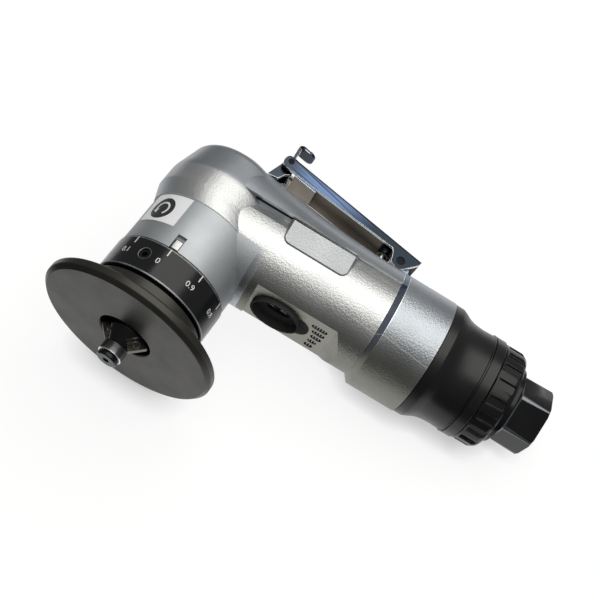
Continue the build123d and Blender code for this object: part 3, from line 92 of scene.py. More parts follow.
# %% Camera
LENS, SENSOR = 72.02, 36
CAMERA_RIGHT = Vector((0.81318, -0.26400, 0.51869))
CAMERA_UP = Vector((-0.58200, -0.37362, 0.72228))
CAMERA_BACK = Vector((0.00311, -0.88922, -0.45747))
CAMERA_PLACE = Vector((44.307, -398.688, -152.661)) * MM
camera = bpy.data.objects.new("camera", bpy.data.cameras.new("camera"))
bpy.context.scene.collection.objects.link(camera)
camera.data.lens = LENS
camera.data.sensor_width = SENSOR
camera.matrix_world = Matrix.Translation(CAMERA_PLACE) @ Matrix(
    (CAMERA_RIGHT, CAMERA_UP, CAMERA_BACK)).transposed().to_4x4()
bpy.context.scene.camera = camera
bpy.context.scene.view_settings.view_transform = "Standard"
print("camera at", [round(v, 3) for v in camera.location])

# %% [markdown]
# Colours are written as sRGB hex codes and Blender wants them linear, so one helper turns them.
# A material is a tree of nodes: a second helper adds any node, with its settings and links, and
# a third starts an empty tree. A mesh is shaped as a bmesh, and the fourth makes it an object.

# %% Four small helpers
def hex_colour(code):
    """sRGB hex colour as linear RGBA."""
    parts = [int(code[i : i + 2], 16) / 255 for i in (1, 3, 5)]
    return [p / 12.92 if p <= 0.04045 else ((p + 0.055) / 1.055) ** 2.4 for p in parts] + [1]


def add(tree, kind, settings=None, inputs=None):
    """Add a node, with its own settings, and with values or links for its inputs."""
    node = tree.nodes.new(kind)
    for key, value in (settings or {}).items():
        setattr(node, key, value)
    for key, value in (inputs or {}).items():
        if isinstance(value, bpy.types.NodeSocket):
            tree.links.new(value, node.inputs[key])
        else:
            node.inputs[key].default_value = value
    return node


def new_material(name):
    """Empty node material, with its output node."""
    material = bpy.data.materials.new(name)
    material.use_nodes = True
    material.node_tree.nodes.clear()
    return material, material.node_tree, add(material.node_tree, "ShaderNodeOutputMaterial")


def object_from(bm, name, material):
    """Finished mesh object from a bmesh, in the scene."""
    mesh = bpy.data.meshes.new(name)
    bm.to_mesh(mesh)
    bm.free()
    mesh.materials.append(material)
    piece = bpy.data.objects.new(name, mesh)
    bpy.context.scene.collection.objects.link(piece)
    return piece


print("white is", hex_colour("#ffffff"))

# %% [markdown]
# In the picture the tool lies on white, on the rim of its plate and on its side, and the
# camera looks down on it. So the board is not under the tool's Z axis but beside it, and its
# normal points from the tool's left side towards the camera. Light from the lamp keeps the
# shadow on the matt paint, and a little glow makes the rest white. The glow stands for the light
# of a white room, so it fades within 10 mm of the tool, which closes off the room there. A
# board seen from its back becomes clear, so that views from the other side are not blocked.

# %% White paint
SHADE_REACH = 10
# shares of the room that the tool leaves open, where the glow is least and where it is full
CLOSED, OPEN = 0.4, 0.97
GLOW_CLOSED, GLOW_OPEN = 0.5, 0.86
table_white, tree, out = new_material("matt_white_table")
path = add(tree, "ShaderNodeLightPath").outputs
seen = path["Is Camera Ray"]
for other_ray in ("Is Glossy Ray", "Is Transmission Ray"):
    seen = add(tree, "ShaderNodeMath", {"operation": "MAXIMUM"},
               {0: seen, 1: path[other_ray]}).outputs[0]
openness = add(tree, "ShaderNodeAmbientOcclusion", {"samples": 16},
               {"Distance": SHADE_REACH * MM}).outputs["AO"]
glow = add(tree, "ShaderNodeMapRange", None,
           {"Value": openness, "From Min": CLOSED, "From Max": OPEN,
            "To Min": GLOW_CLOSED, "To Max": GLOW_OPEN}).outputs[0]
glow = add(tree, "ShaderNodeMath", {"operation": "MULTIPLY"}, {0: seen, 1: glow}).outputs[0]
paint = add(tree, "ShaderNodeBsdfDiffuse", None, {"Color": hex_colour("#787878")}).outputs[0]
light = add(tree, "ShaderNodeEmission", None, {"Strength": glow}).outputs[0]
face = add(tree, "ShaderNodeAddShader", None, {0: paint, 1: light}).outputs[0]
back = add(tree, "ShaderNodeBsdfTransparent").outputs[0]
behind = add(tree, "ShaderNodeNewGeometry").outputs["Backfacing"]
both = add(tree, "ShaderNodeMixShader", None, {0: behind, 1: face, 2: back}).outputs[0]
tree.links.new(both, out.inputs["Surface"])
print("board paint glows by", GLOW_OPEN, "in the open")

# %% [markdown]
# The board is cut a little larger than the picture: beyond it the lower flanks of the metal
# mirror the dim room. Its corners are the picture's own, enlarged and thrown along the camera's
# rays onto the table.

# %% Board
TABLE_NORMAL = Vector((-0.126, -0.992, 0)).normalized()
TABLE_GAP = 35.7
BOARD_MARGIN = 1.15
half = BOARD_MARGIN * SENSOR / 2 / LENS
bm = bmesh.new()
corners = []
for x, y in ((-half, -half), (half, -half), (half, half), (-half, half)):
    ray = CAMERA_RIGHT * x + CAMERA_UP * y - CAMERA_BACK
    reach = (-TABLE_GAP * MM - CAMERA_PLACE.dot(TABLE_NORMAL)) / ray.dot(TABLE_NORMAL)
    corners.append(bm.verts.new(CAMERA_PLACE + ray * reach))
bm.faces.new(corners)
board = object_from(bm, "board", table_white)
print("board at", TABLE_GAP, "mm from the cutter axis")

# %% [markdown]
# One broad soft box stands beyond the picture's upper right corner, about 40 degrees off the
# camera's own direction. It makes the bright flank of the handle and the stripe on the barrel.
# The room around it is dim, a little brighter on the lamp's side, so that bare metal turns dark
# on the side that faces away: most of what a metal shows is the room.

# %% Light
TOOL_MIDDLE = Vector((54, 0, 47)) * MM
KEY_SIDE = (CAMERA_BACK * 0.743 + CAMERA_RIGHT * 0.384 + CAMERA_UP * 0.548).normalized()
KEY_DISTANCE, KEY_WIDTH, KEY_WATTS = 0.8, 0.9, 5.5
BRIGHT_SIDE = (CAMERA_BACK * 0.5 + CAMERA_RIGHT * 0.5 + CAMERA_UP * 0.7).normalized()
ROOM_DIM, ROOM_BRIGHT = 0.04, 0.37

lamp = bpy.data.lights.new("key_box", "AREA")
lamp.shape = "SQUARE"
lamp.size = KEY_WIDTH
lamp.energy = KEY_WATTS
lamp.color = hex_colour("#fffdf8")[:3]
key_box = bpy.data.objects.new("key_box", lamp)
bpy.context.scene.collection.objects.link(key_box)
key_box.location = TOOL_MIDDLE + KEY_SIDE * KEY_DISTANCE
key_box.rotation_euler = KEY_SIDE.to_track_quat("Z", "Y").to_euler()

world = bpy.data.worlds.new("grey_room")
bpy.context.scene.world = world
world.use_nodes = True
tree = world.node_tree
tree.nodes.clear()
ray = add(tree, "ShaderNodeTexCoord").outputs["Generated"]
lean = add(tree, "ShaderNodeVectorMath", {"operation": "DOT_PRODUCT"},
           {0: ray, 1: tuple(BRIGHT_SIDE)}).outputs["Value"]
grey = add(tree, "ShaderNodeMapRange", None,
           {"Value": lean, "From Min": -1.0, "From Max": 1.0,
            "To Min": ROOM_DIM, "To Max": ROOM_BRIGHT}).outputs[0]
sky = add(tree, "ShaderNodeBackground", None,
          {"Color": hex_colour("#ffffff"), "Strength": grey}).outputs[0]
add(tree, "ShaderNodeOutputWorld", None, {"Surface": sky})
print("one key box, grey room")

# %% [markdown]
# ## Metals and plastics in one recipe
# Most finishes of the tool differ in a few numbers only: two close tones that drift over
# patches of the surface, a gloss that drifts with them, and a fine grain that the light catches.
# `finish` builds those from noise on Object coordinates. Patch, grain and the grain's height are
# given in millimetres: a noise of scale 1000 / d has blotches of about d millimetres. True grains
# are mostly finer than a pixel, so they are drawn a few tenths wide, just enough to show.
# `gloss` is the roughness at both ends of the drift.

# %% Shared recipe
NOISE_LOW, NOISE_HIGH = 0.3, 0.7  # most of a noise lies between these


def finish(name, tones, patch, gloss, grain, height, metal=0.0, shine=0.5):
    """Two tones drifting over patches, roughness between two values, and a fine grain."""
    material, tree, out = new_material(name)
    place = add(tree, "ShaderNodeTexCoord").outputs["Object"]
    drift = add(tree, "ShaderNodeTexNoise", None,
                {"Vector": place, "Scale": 1000 / patch, "Detail": 4.0,
                 "Roughness": 0.6}).outputs["Fac"]
    tone = add(tree, "ShaderNodeMix", {"data_type": "RGBA"},
               {0: drift, 6: hex_colour(tones[0]), 7: hex_colour(tones[1])}).outputs[2]
    rough = add(tree, "ShaderNodeMapRange", None,
                {"Value": drift, "From Min": NOISE_LOW, "From Max": NOISE_HIGH,
                 "To Min": gloss[0], "To Max": gloss[1]}).outputs[0]
    fine = add(tree, "ShaderNodeTexNoise", None,
               {"Vector": place, "Scale": 1000 / grain, "Detail": 2.0}).outputs["Fac"]
    bump = add(tree, "ShaderNodeBump", None,
               {"Strength": 1.0, "Distance": height * MM, "Height": fine}).outputs[0]
    shader = add(tree, "ShaderNodeBsdfPrincipled", None,
                 {"Base Color": tone, "Roughness": rough, "Normal": bump, "Metallic": metal,
                  "Specular IOR Level": shine})
    tree.links.new(shader.outputs[0], out.inputs["Surface"])
    return material


finishes = {
    # black hard-anodised aluminium: dense dyed skin over a turned face, a soft gloss
    "black_anodised": finish("black_anodised_aluminium", ("#0b0c0d", "#131415"), patch=9,
                             gloss=(0.16, 0.26), grain=0.35, height=0.003, shine=0.35),
    # moulded black rubber over the rear: fine matt grain from the mould
    "black_rubber": finish("moulded_black_rubber", ("#0a0b0b", "#131414"), patch=12,
                           gloss=(0.24, 0.4), grain=0.7, height=0.012, shine=0.38),
    # moulded black nylon: a little smoother than the rubber
    "black_nylon": finish("moulded_black_nylon", ("#0b0c0d", "#141516"), patch=8,
                          gloss=(0.22, 0.34), grain=0.6, height=0.007, shine=0.32),
    # steel blackened in hot oxide and oiled: deep black with a bright gloss
    "black_oxide": finish("black_oxide_steel", ("#090a0b", "#111214"), patch=10,
                          gloss=(0.16, 0.26), grain=0.5, height=0.002, shine=0.28),
    # ground and lapped bearing steel: pale, close to a mirror
    "ground_steel": finish("ground_bearing_steel", ("#a9abae", "#c2c4c6"), patch=6,
                           gloss=(0.18, 0.28), grain=0.3, height=0.002, metal=1.0),
    # case-hardened gear steel, milled and tumbled: grey, with a broad soft gloss
    "gear_steel": finish("case_hardened_gear_steel", ("#7d7e80", "#979899"), patch=5,
                         gloss=(0.28, 0.4), grain=0.4, height=0.004, metal=1.0),
    # spring wire, drawn through a die: grey and smooth
    "spring_steel": finish("drawn_spring_wire", ("#6a6d72", "#8a8d91"), patch=3,
                           gloss=(0.25, 0.35), grain=0.3, height=0.003, metal=1.0),
    # sintered carbide, ground and thinly coated: a warm dark grey
    "carbide": finish("coated_sintered_carbide", ("#5c584e", "#747066"), patch=4,
                      gloss=(0.24, 0.36), grain=0.3, height=0.002, metal=1.0),
    # grey cast iron, honed: dark and dull from the graphite in it
    "grey_iron": finish("honed_grey_iron", ("#6d6f70", "#838586"), patch=3,
                        gloss=(0.35, 0.5), grain=0.4, height=0.006, metal=1.0),
    # aluminium bar, turned: pale, with a satin gloss
    "turned_aluminium": finish("turned_aluminium_bar", ("#b4b6b8", "#c8cacb"), patch=6,
                               gloss=(0.25, 0.36), grain=0.4, height=0.003, metal=1.0),
    # phenolic resin with cotton cloth, sawn into vanes: brown and dull, mottled by the weave
    "vane_resin": finish("cloth_filled_phenolic", ("#4a3a28", "#6b563c"), patch=1.2,
                         gloss=(0.5, 0.65), grain=0.4, height=0.01),
    # brass bar, turned: yellow, with a satin gloss
    "brass": finish("turned_brass", ("#a98b45", "#c2a55e"), patch=5,
                    gloss=(0.24, 0.34), grain=0.4, height=0.003, metal=1.0),
    # moulded nitrile rubber rings: matt black
    "seal_rubber": finish("nitrile_rubber", ("#101010", "#1a1a1a"), patch=4,
                          gloss=(0.45, 0.6), grain=0.3, height=0.004),
    # needled wool felt of the silencer: loose fibres, no gloss at all
    "felt": finish("needled_wool_felt", ("#8f887a", "#b3ac9d"), patch=1.5,
                   gloss=(0.9, 1.0), grain=0.5, height=0.12),
    # printed polyester film of the label: plain pale face with a faint pearl
    "label_film": finish("printed_polyester_film", ("#eceff2", "#f6f8f9"), patch=5,
                         gloss=(0.3, 0.42), grain=0.5, height=0.002),
}
print(len(finishes), "plain finishes")

# %% [markdown]
# ## Blasted cast aluminium
# The housing is a pressure die casting. After casting it is blasted with coarse beads, which
# leaves small dents of about a millimetre all over the flanks. The nose and the barrel are then
# turned on a lathe and the head is ground smooth, so those parts show a finer skin. One material
# can do it all if it knows where it is, so the first cell measures each point: its height above
# the plate, its distance to the side, and its place along and across the handle.

# %% Housing: measures
def measured(tree, *directions):
    """Object coordinates, and how far a point lies from the handle's start in each direction."""
    place = add(tree, "ShaderNodeTexCoord").outputs["Object"]
    from_start = add(tree, "ShaderNodeVectorMath", {"operation": "SUBTRACT"},
                     {0: place, 1: tuple(HANDLE_START)}).outputs[0]
    return [place] + [add(tree, "ShaderNodeVectorMath", {"operation": "DOT_PRODUCT"},
                          {0: from_start, 1: tuple(way)}).outputs["Value"] for way in directions]


# millimetres along the handle: the turned step before the barrel, and half its width
STEP_AT, STEP_HALF = 72.3, 1.2
# the lower face of the head, the flat below the handle, the pads at its sides, and their ends
HEAD_LOW, FLAT_AT, PAD_AT, PAD_START, PAD_END = 50, -16.3, 21.3, 24.4, 59.6
# the hood's lower edge, and the painted shade line under it: its two ends, and half its width in front
HOOD_EDGE, CREVICE_FRONT, CREVICE_REAR, CREVICE_HALF = 10.15, 10, 62, 0.24
cast, tree, out = new_material("bead_blasted_cast_aluminium")
place, along, across = measured(tree, HANDLE_DIR, HANDLE_UP)
axes = add(tree, "ShaderNodeSeparateXYZ", None, {0: place}).outputs
height = axes["Z"]
side_way = add(tree, "ShaderNodeMath", {"operation": "ABSOLUTE"}, {0: axes["Y"]}).outputs[0]
away = []
for measure, at in ((along, STEP_AT), (across, HOOD_EDGE)):
    past = add(tree, "ShaderNodeMath", {"operation": "SUBTRACT"}, {0: measure, 1: at * MM}).outputs[0]
    away.append(add(tree, "ShaderNodeMath", {"operation": "ABSOLUTE"}, {0: past}).outputs[0])
off_step, off_hood_edge = away
# the painted shade line under the hood's edge is finer towards the rear
crevice = add(tree, "ShaderNodeMapRange", None,
              {"Value": along, "From Min": CREVICE_FRONT * MM, "From Max": CREVICE_REAR * MM,
               "To Min": CREVICE_HALF * MM, "To Max": 0.0}).outputs[0]
print("housing measured along, across, up and to the side")

# %% [markdown]
# From the measures come shares between 0 and 1. A ramp turns from one skin into another over
# some millimetres, as blasting does. A test ends sharply, as a cut of a tool does. All of them
# are given in millimetres, and a list of rows makes them, because they differ in numbers only.

# %% Housing: ramps and tests
share = {}
# ramps: where the share is 0, and where it is 1
for name, measure, none_at, full_at in (
    ("over_nose", height, HEAD_LOW - 0.4, HEAD_LOW + 0.6),
    ("below_head", height, HEAD_LOW + 0.6, HEAD_LOW - 0.4),
    ("under_crown", height, 66.5, 64.5),
    ("on_flank", side_way, 9, 18),
    ("on_grip", along, 20, 24),
    ("off_hood", across, 11.5, 10),
    ("low", across, -7, -20),
    ("above", across, -20, -7),
):
    share[name] = add(tree, "ShaderNodeMapRange", {"interpolation_type": "SMOOTHSTEP"},
                      {"Value": measure, "From Min": none_at * MM, "From Max": full_at * MM}).outputs[0]
# tests: less or more than a measure, or as near to it as the last value
for name, test, measure, at, within in (
    ("near_axis", "LESS_THAN", along, 20, 0),
    ("past_axis", "GREATER_THAN", along, 9, 0),
    ("behind_head", "GREATER_THAN", along, 23, 0),
    ("before_step", "LESS_THAN", along, STEP_AT - STEP_HALF + 0.2, 0),
    ("along_pad", "COMPARE", along, (PAD_START + PAD_END) / 2, (PAD_END - PAD_START) / 2),
    ("at_flat", "COMPARE", across, FLAT_AT, 0.1),
    ("at_pad", "COMPARE", side_way, PAD_AT, 0.1),
    ("inside_pad", "LESS_THAN", side_way, PAD_AT - 0.7, 0),
    ("at_step", "LESS_THAN", off_step, STEP_HALF - 0.1, 0),
    ("at_edge", "COMPARE", off_step, STEP_HALF, 0.14),
    ("under_head", "COMPARE", height, HEAD_LOW, 0.05),
):
    share[name] = add(tree, "ShaderNodeMath", {"operation": test},
                      {0: measure, 1: at * MM, 2: within * MM}).outputs[0]
share["at_crevice"] = add(tree, "ShaderNodeMath", {"operation": "LESS_THAN"},
                          {0: off_hood_edge, 1: crevice}).outputs[0]
# dents are shallower on the hood above the ridge, and end at the smooth step
RIDGE_TOP, RIDGE_FOOT, HOOD_DENTS = 14, 9.5, 0.35
share["below_ridge"] = add(tree, "ShaderNodeMapRange", {"interpolation_type": "SMOOTHSTEP"},
                           {"Value": across, "From Min": RIDGE_TOP * MM, "From Max": RIDGE_FOOT * MM,
                            "To Min": HOOD_DENTS, "To Max": 1.0}).outputs[0]
share["off_step"] = add(tree, "ShaderNodeMapRange", None,
                        {"Value": off_step, "From Min": (STEP_HALF - 0.2) * MM,
                         "From Max": (STEP_HALF + 0.2) * MM}).outputs[0]
print("housing:", len(share), "ramps and tests")

# %% [markdown]
# A place such as the nose is where several of these hold at once, so their shares are
# multiplied. Grip and head are both blasted: of those two the larger share counts.

# %% Housing: places
for name, *parts in (
    ("on_head", "over_nose", "under_crown", "on_flank"),
    ("on_nose", "below_head", "near_axis"),
    ("underside", "low", "behind_head"),
    ("on_flat", "at_flat", "along_pad"),
    ("on_pad", "at_pad", "along_pad"),
    ("in_crevice", "at_crevice", "inside_pad", "past_axis"),
    ("on_step", "at_step", "above"),
    ("on_edge", "at_edge", "above"),
    ("dents_on_grip", "on_grip", "below_ridge", "off_step"),
    ("dents_on_head", "on_head", "below_ridge", "off_step"),
    ("blast_on_grip", "on_grip", "before_step", "off_hood"),
    ("blast_on_head", "on_head", "before_step", "off_hood"),
):
    share[name] = share[parts[0]]
    for part in parts[1:]:
        share[name] = add(tree, "ShaderNodeMath", {"operation": "MULTIPLY"},
                          {0: share[name], 1: share[part]}).outputs[0]
for name in ("dents", "blast"):
    share[name] = add(tree, "ShaderNodeMath", {"operation": "MAXIMUM"},
                      {0: share[name + "_on_grip"], 1: share[name + "_on_head"]}).outputs[0]
print("housing:", len(share), "shares with its places")

# %% [markdown]
# The dents are a smooth Voronoi pattern, rather than noise alone, because beads leave cells. A
# finer sand lies over them. The nose is turned with a coarse feed, so it keeps a quarter of the
# depth and scatters more light, and the ground parts keep a tenth.

# %% Housing: dents
DENT_SIZE, DENT_DEPTH, SAND_SIZE, SAND_SHARE, DRIFT_SIZE = 0.75, 0.065, 0.42, 0.9, 14
NOSE_LEAST, GROUND_LEAST, NOSE_SCATTER = 0.25, 0.1, 0.16
least = add(tree, "ShaderNodeMath", {"operation": "MULTIPLY_ADD"},
            {0: share["on_nose"], 1: NOSE_LEAST - GROUND_LEAST, 2: GROUND_LEAST}).outputs[0]
depth = add(tree, "ShaderNodeMapRange", None,
            {"Value": share["dents"], "To Min": least, "To Max": 1.0}).outputs[0]
cells = add(tree, "ShaderNodeTexVoronoi", {"feature": "SMOOTH_F1"},
            {"Vector": place, "Scale": 1000 / DENT_SIZE, "Smoothness": 0.3}).outputs["Distance"]
sand = add(tree, "ShaderNodeTexNoise", None,
           {"Vector": place, "Scale": 1000 / SAND_SIZE, "Detail": 3.0, "Roughness": 0.7}).outputs["Fac"]
rind = add(tree, "ShaderNodeMath", {"operation": "MULTIPLY_ADD"},
           {0: sand, 1: SAND_SHARE, 2: cells}).outputs[0]
rind = add(tree, "ShaderNodeMath", {"operation": "MULTIPLY"}, {0: rind, 1: depth}).outputs[0]
bump = add(tree, "ShaderNodeBump", None,
           {"Strength": 1.0, "Distance": DENT_DEPTH * MM, "Height": rind}).outputs[0]
drift = add(tree, "ShaderNodeTexNoise", None,
            {"Vector": place, "Scale": 1000 / DRIFT_SIZE, "Detail": 3.0}).outputs["Fac"]
rough = add(tree, "ShaderNodeMapRange", None,
            {"Value": drift, "From Min": NOISE_LOW, "From Max": NOISE_HIGH,
             "To Min": 0.36, "To Max": 0.46}).outputs[0]
rough = add(tree, "ShaderNodeMath", {"operation": "MULTIPLY_ADD"},
            {0: share["on_nose"], 1: NOSE_SCATTER, 2: rough}).outputs[0]
print("housing: dents about", DENT_SIZE, "mm, sand", SAND_SIZE, "mm")

# %% [markdown]
# Blasting leaves the metal pale and grinding leaves it bluish, so two drifting tones are mixed
# first. The smaller places are then laid over them one by one; some of them are painted light
# and shade. The thin edge under the head is painted pale and made not to shine like metal,
# which paints out the dark line of shade under the head's overhang.

# %% Housing: tones
blasted = add(tree, "ShaderNodeMix", {"data_type": "RGBA"},
              {0: drift, 6: hex_colour("#bec0c0"), 7: hex_colour("#cbcccc")}).outputs[2]
ground = add(tree, "ShaderNodeMix", {"data_type": "RGBA"},
             {0: drift, 6: hex_colour("#a2a7ad"), 7: hex_colour("#aeb3b8")}).outputs[2]
tone = add(tree, "ShaderNodeMix", {"data_type": "RGBA"},
           {0: share["blast"], 6: ground, 7: blasted}).outputs[2]
for name, colour in (
    ("on_nose", "#b4b8bb"),  # turned, and a little paler than the ground head
    ("underside", "#85857f"),  # painted shade: the lower side of the handle made darker
    ("on_flat", "#8f8f86"),  # milled, then left warm and dull
    ("on_pad", "#9c9fa1"),  # rubbed dull by the hand
    ("in_crevice", "#2b2c2d"),  # painted shade: a dark line under the hood's edge
    ("on_step", "#8b95a6"),  # blue-grey from the lathe
    ("on_edge", "#eef0f1"),  # painted highlight: the step's two edges made bright
    ("under_head", "#dcdedf"),  # painted light: the edge under the head made pale
):
    tone = add(tree, "ShaderNodeMix", {"data_type": "RGBA"},
               {0: share[name], 6: tone, 7: hex_colour(colour)}).outputs[2]
# the painted pale edge under the head does not shine as metal
metal = add(tree, "ShaderNodeMath", {"operation": "SUBTRACT"},
            {0: 1.0, 1: share["under_head"]}).outputs[0]
shader = add(tree, "ShaderNodeBsdfPrincipled", None,
             {"Base Color": tone, "Roughness": rough, "Normal": bump, "Metallic": metal})
tree.links.new(shader.outputs[0], out.inputs["Surface"])
finishes["cast_aluminium"] = cast
print("housing dressed with", len(tree.nodes), "nodes")

# %% [markdown]
# ## Phosphated plate
# The base plate is turned steel with a dark phosphate skin. The lathe's tool marks still show
# as rings about the cutter axis. In truth they are finer than a pixel, so they are drawn as far
# apart as they need to show, 4.4 mm. Rings come from the distance to the Z axis, which a Wave
# texture gives directly: it repeats every 2 pi / 20 of its own units.

# %% Plate material
RING_GAP, RING_DEPTH, SKIN_PATCH = 4.4, 0.0015, 11
phosphate, tree, out = new_material("phosphated_turned_steel")
place = add(tree, "ShaderNodeTexCoord").outputs["Object"]
rings = add(tree, "ShaderNodeTexWave", {"wave_type": "RINGS", "rings_direction": "Z"},
            {"Vector": place, "Scale": 2 * pi / 20 / (RING_GAP * MM), "Distortion": 0.4,
             "Detail": 2.0}).outputs["Fac"]
drift = add(tree, "ShaderNodeTexNoise", None,
            {"Vector": place, "Scale": 1000 / SKIN_PATCH, "Detail": 5.0}).outputs["Fac"]
tone = add(tree, "ShaderNodeMix", {"data_type": "RGBA"},
           {0: drift, 6: hex_colour("#34332f"), 7: hex_colour("#44433f")}).outputs[2]
rough = add(tree, "ShaderNodeMapRange", None,
            {"Value": drift, "From Min": NOISE_LOW, "From Max": NOISE_HIGH,
             "To Min": 0.34, "To Max": 0.44}).outputs[0]
bump = add(tree, "ShaderNodeBump", None,
           {"Strength": 1.0, "Distance": RING_DEPTH * MM, "Height": rings}).outputs[0]
shader = add(tree, "ShaderNodeBsdfPrincipled", None,
             {"Base Color": tone, "Roughness": rough, "Normal": bump, "Metallic": 0.75})
tree.links.new(shader.outputs[0], out.inputs["Surface"])
finishes["phosphated_steel"] = phosphate
print("plate: rings", RING_GAP, "mm apart")

# %% [markdown]
# ## Dark chrome
# Lever and catch are pressed from sheet, polished and plated with dark chrome. Chrome is a
# mirror, so its look is what stands around it, and the tint only darkens that. Slow waves of
# the pressed sheet bend the reflections a little. Polishing lines run the length of the lever:
# noise drawn out forty times that way. In truth they are finer than a pixel, so they are drawn
# 0.9 mm wide. The skin is bluest in the middle, where the lines show. The front and the part
# towards the pivot are painted darker, as painted shade on the chrome.

# %% Lever material
LEVER_SLOPE = radians(12.84)
LEVER_DIR = HANDLE_DIR * cos(LEVER_SLOPE) - HANDLE_UP * sin(LEVER_SLOPE)
LEVER_UP = HANDLE_DIR * sin(LEVER_SLOPE) + HANDLE_UP * cos(LEVER_SLOPE)
SHEET_WAVE, WAVE_DEPTH, RUB_SIZE, LINE_WIDTH, DRAWN_OUT = 7, 0.04, 0.8, 0.9, 40.0
chrome, tree, out = new_material("dark_chrome_plate")
place, along, across = measured(tree, LEVER_DIR, LEVER_UP)
sheet = add(tree, "ShaderNodeTexNoise", None,
            {"Vector": place, "Scale": 1000 / SHEET_WAVE, "Detail": 1.0}).outputs["Fac"]
rub = add(tree, "ShaderNodeTexNoise", None,
          {"Vector": place, "Scale": 1000 / RUB_SIZE, "Detail": 4.0}).outputs["Fac"]
slow = add(tree, "ShaderNodeMath", {"operation": "DIVIDE"}, {0: along, 1: DRAWN_OUT}).outputs[0]
lines = add(tree, "ShaderNodeCombineXYZ", None, {0: slow, 1: across}).outputs[0]
streaks = add(tree, "ShaderNodeTexNoise", None,
              {"Vector": lines, "Scale": 1000 / LINE_WIDTH, "Detail": 3.0}).outputs["Fac"]
streaks = add(tree, "ShaderNodeMapRange", None,
              {"Value": streaks, "From Min": 0.35, "From Max": 0.65}).outputs[0]
tone = add(tree, "ShaderNodeMix", {"data_type": "RGBA"},
           {0: streaks, 6: hex_colour("#2a3340"), 7: hex_colour("#566887")}).outputs[2]
# painted shade at the front and at the rear: tones, with the places along the lever where each begins
# and is complete
for begins, complete, colour in ((14, 2, "#343940"), (26, 48, "#262c34")):
    fade = add(tree, "ShaderNodeMapRange", {"interpolation_type": "SMOOTHSTEP"},
               {"Value": along, "From Min": begins * MM, "From Max": complete * MM}).outputs[0]
    tone = add(tree, "ShaderNodeMix", {"data_type": "RGBA"},
               {0: fade, 6: tone, 7: hex_colour(colour)}).outputs[2]
rough = add(tree, "ShaderNodeMapRange", None,
            {"Value": rub, "From Min": NOISE_LOW, "From Max": NOISE_HIGH,
             "To Min": 0.12, "To Max": 0.22}).outputs[0]
bump = add(tree, "ShaderNodeBump", None,
           {"Strength": 1.0, "Distance": WAVE_DEPTH * MM, "Height": sheet}).outputs[0]
shader = add(tree, "ShaderNodeBsdfPrincipled", None,
             {"Base Color": tone, "Roughness": rough, "Normal": bump, "Metallic": 1.0})
tree.links.new(shader.outputs[0], out.inputs["Surface"])
finishes["dark_chrome"] = chrome
print("chrome: polishing lines", LINE_WIDTH, "mm wide")

# %% [markdown]
# The inside of the lever's channel is never polished: there the plating stays dull and
# brownish. Its front end is painted paler, as painted light reaching into the front of the
# channel. So the tone of a plain finish is taken off the shader, mixed with the paler one along
# the lever, and put back.

# %% Inside of the lever
# where the painted light at the channel's front begins and where it is full, in mm along the lever
PAINTED_LIGHT_BEGINS, PAINTED_LIGHT_FULL = 38, 14
dull_inside_and_painted_light = finish("dull_plated_inside_and_painted_light", ("#776f64", "#8b8276"), patch=5, gloss=(0.45, 0.6),
                     grain=0.5, height=0.006, metal=0.3)
tree = dull_inside_and_painted_light.node_tree
skin = tree.nodes["Principled BSDF"].inputs["Base Color"]
along = measured(tree, LEVER_DIR)[1]
fade = add(tree, "ShaderNodeMapRange", {"interpolation_type": "SMOOTHSTEP"},
           {"Value": along, "From Min": PAINTED_LIGHT_BEGINS * MM, "From Max": PAINTED_LIGHT_FULL * MM}).outputs[0]
tone = add(tree, "ShaderNodeMix", {"data_type": "RGBA"},
           {0: fade, 6: skin.links[0].from_socket, 7: hex_colour("#c6baab")}).outputs[2]
tree.links.new(tone, skin)
print("channel: pale in front of", PAINTED_LIGHT_FULL, "mm")

# %% [markdown]
# ## Worn and painted highlight edges, pins and inks
# A few finishes belong to single pieces, to edges that are partly worn and partly painted highlight, or
# to print. They follow the same recipe.

# %% Single finishes
# steel, rubbed bare by hands and chips, and painted bright as a highlight: a bright line along the
# edges
bare_wear_and_highlight = finish("bare_worn_and_painted_highlight_edge", ("#d6d9dc", "#e9ebed"), patch=2, gloss=(0.2, 0.32),
                   grain=0.3, height=0.002, metal=1.0)
# oxide-black steel, worn by spanners and painted grey as a highlight: grey metal along the hexagon's
# edges
spanner_wear_and_highlight = finish("spanner_wear_and_painted_highlight", ("#5f6367", "#777b7f"), patch=3, gloss=(0.25, 0.38),
                      grain=0.4, height=0.003, metal=1.0)
# anodised aluminium, worn through and painted pale as a highlight: a broken pale line where the black
# skin has gone
anodise_wear_and_highlight = finish("anodise_wear_and_painted_highlight", ("#626466", "#b9bbbd"), patch=2, gloss=(0.4, 0.55),
                      grain=0.3, height=0.002, metal=1.0)
# dowel steel, painted nearly black as the shade in the pin holes, and matt
pin_painted_shade = finish("dowel_painted_shade", ("#070708", "#0e0f11"), patch=3, gloss=(0.4, 0.5),
                   grain=0.3, height=0.002, shine=0.15)
# key steel, cold drawn: bare, pale and satin
key_steel = finish("drawn_key_steel", ("#a6a6a4", "#bbbbb9"), patch=2, gloss=(0.25, 0.36),
                   grain=0.25, height=0.004, metal=1.0)
# glass-filled nylon, moulded: a matt dark grey, painted paler than black as the sheen inside the
# exhaust's hollow
exhaust_painted_sheen = finish("matt_exhaust_nylon", ("#383a39", "#464846"), patch=6, gloss=(0.6, 0.75),
                       grain=0.5, height=0.008, shine=0.08)
# screw steel, blackened and rubbed by chips: dark, but shining as metal again
worn_steel = finish("blackened_roller_steel", ("#2e3133", "#44474a"), patch=4, gloss=(0.22, 0.34),
                    grain=0.3, height=0.003, metal=1.0)
# bearing steel, rolled bright by the work it follows: grey with a clean gloss
roller_steel = finish("rolled_bright_steel", ("#868a88", "#9da19f"), patch=4, gloss=(0.2, 0.3),
                      grain=0.3, height=0.003, metal=1.0)
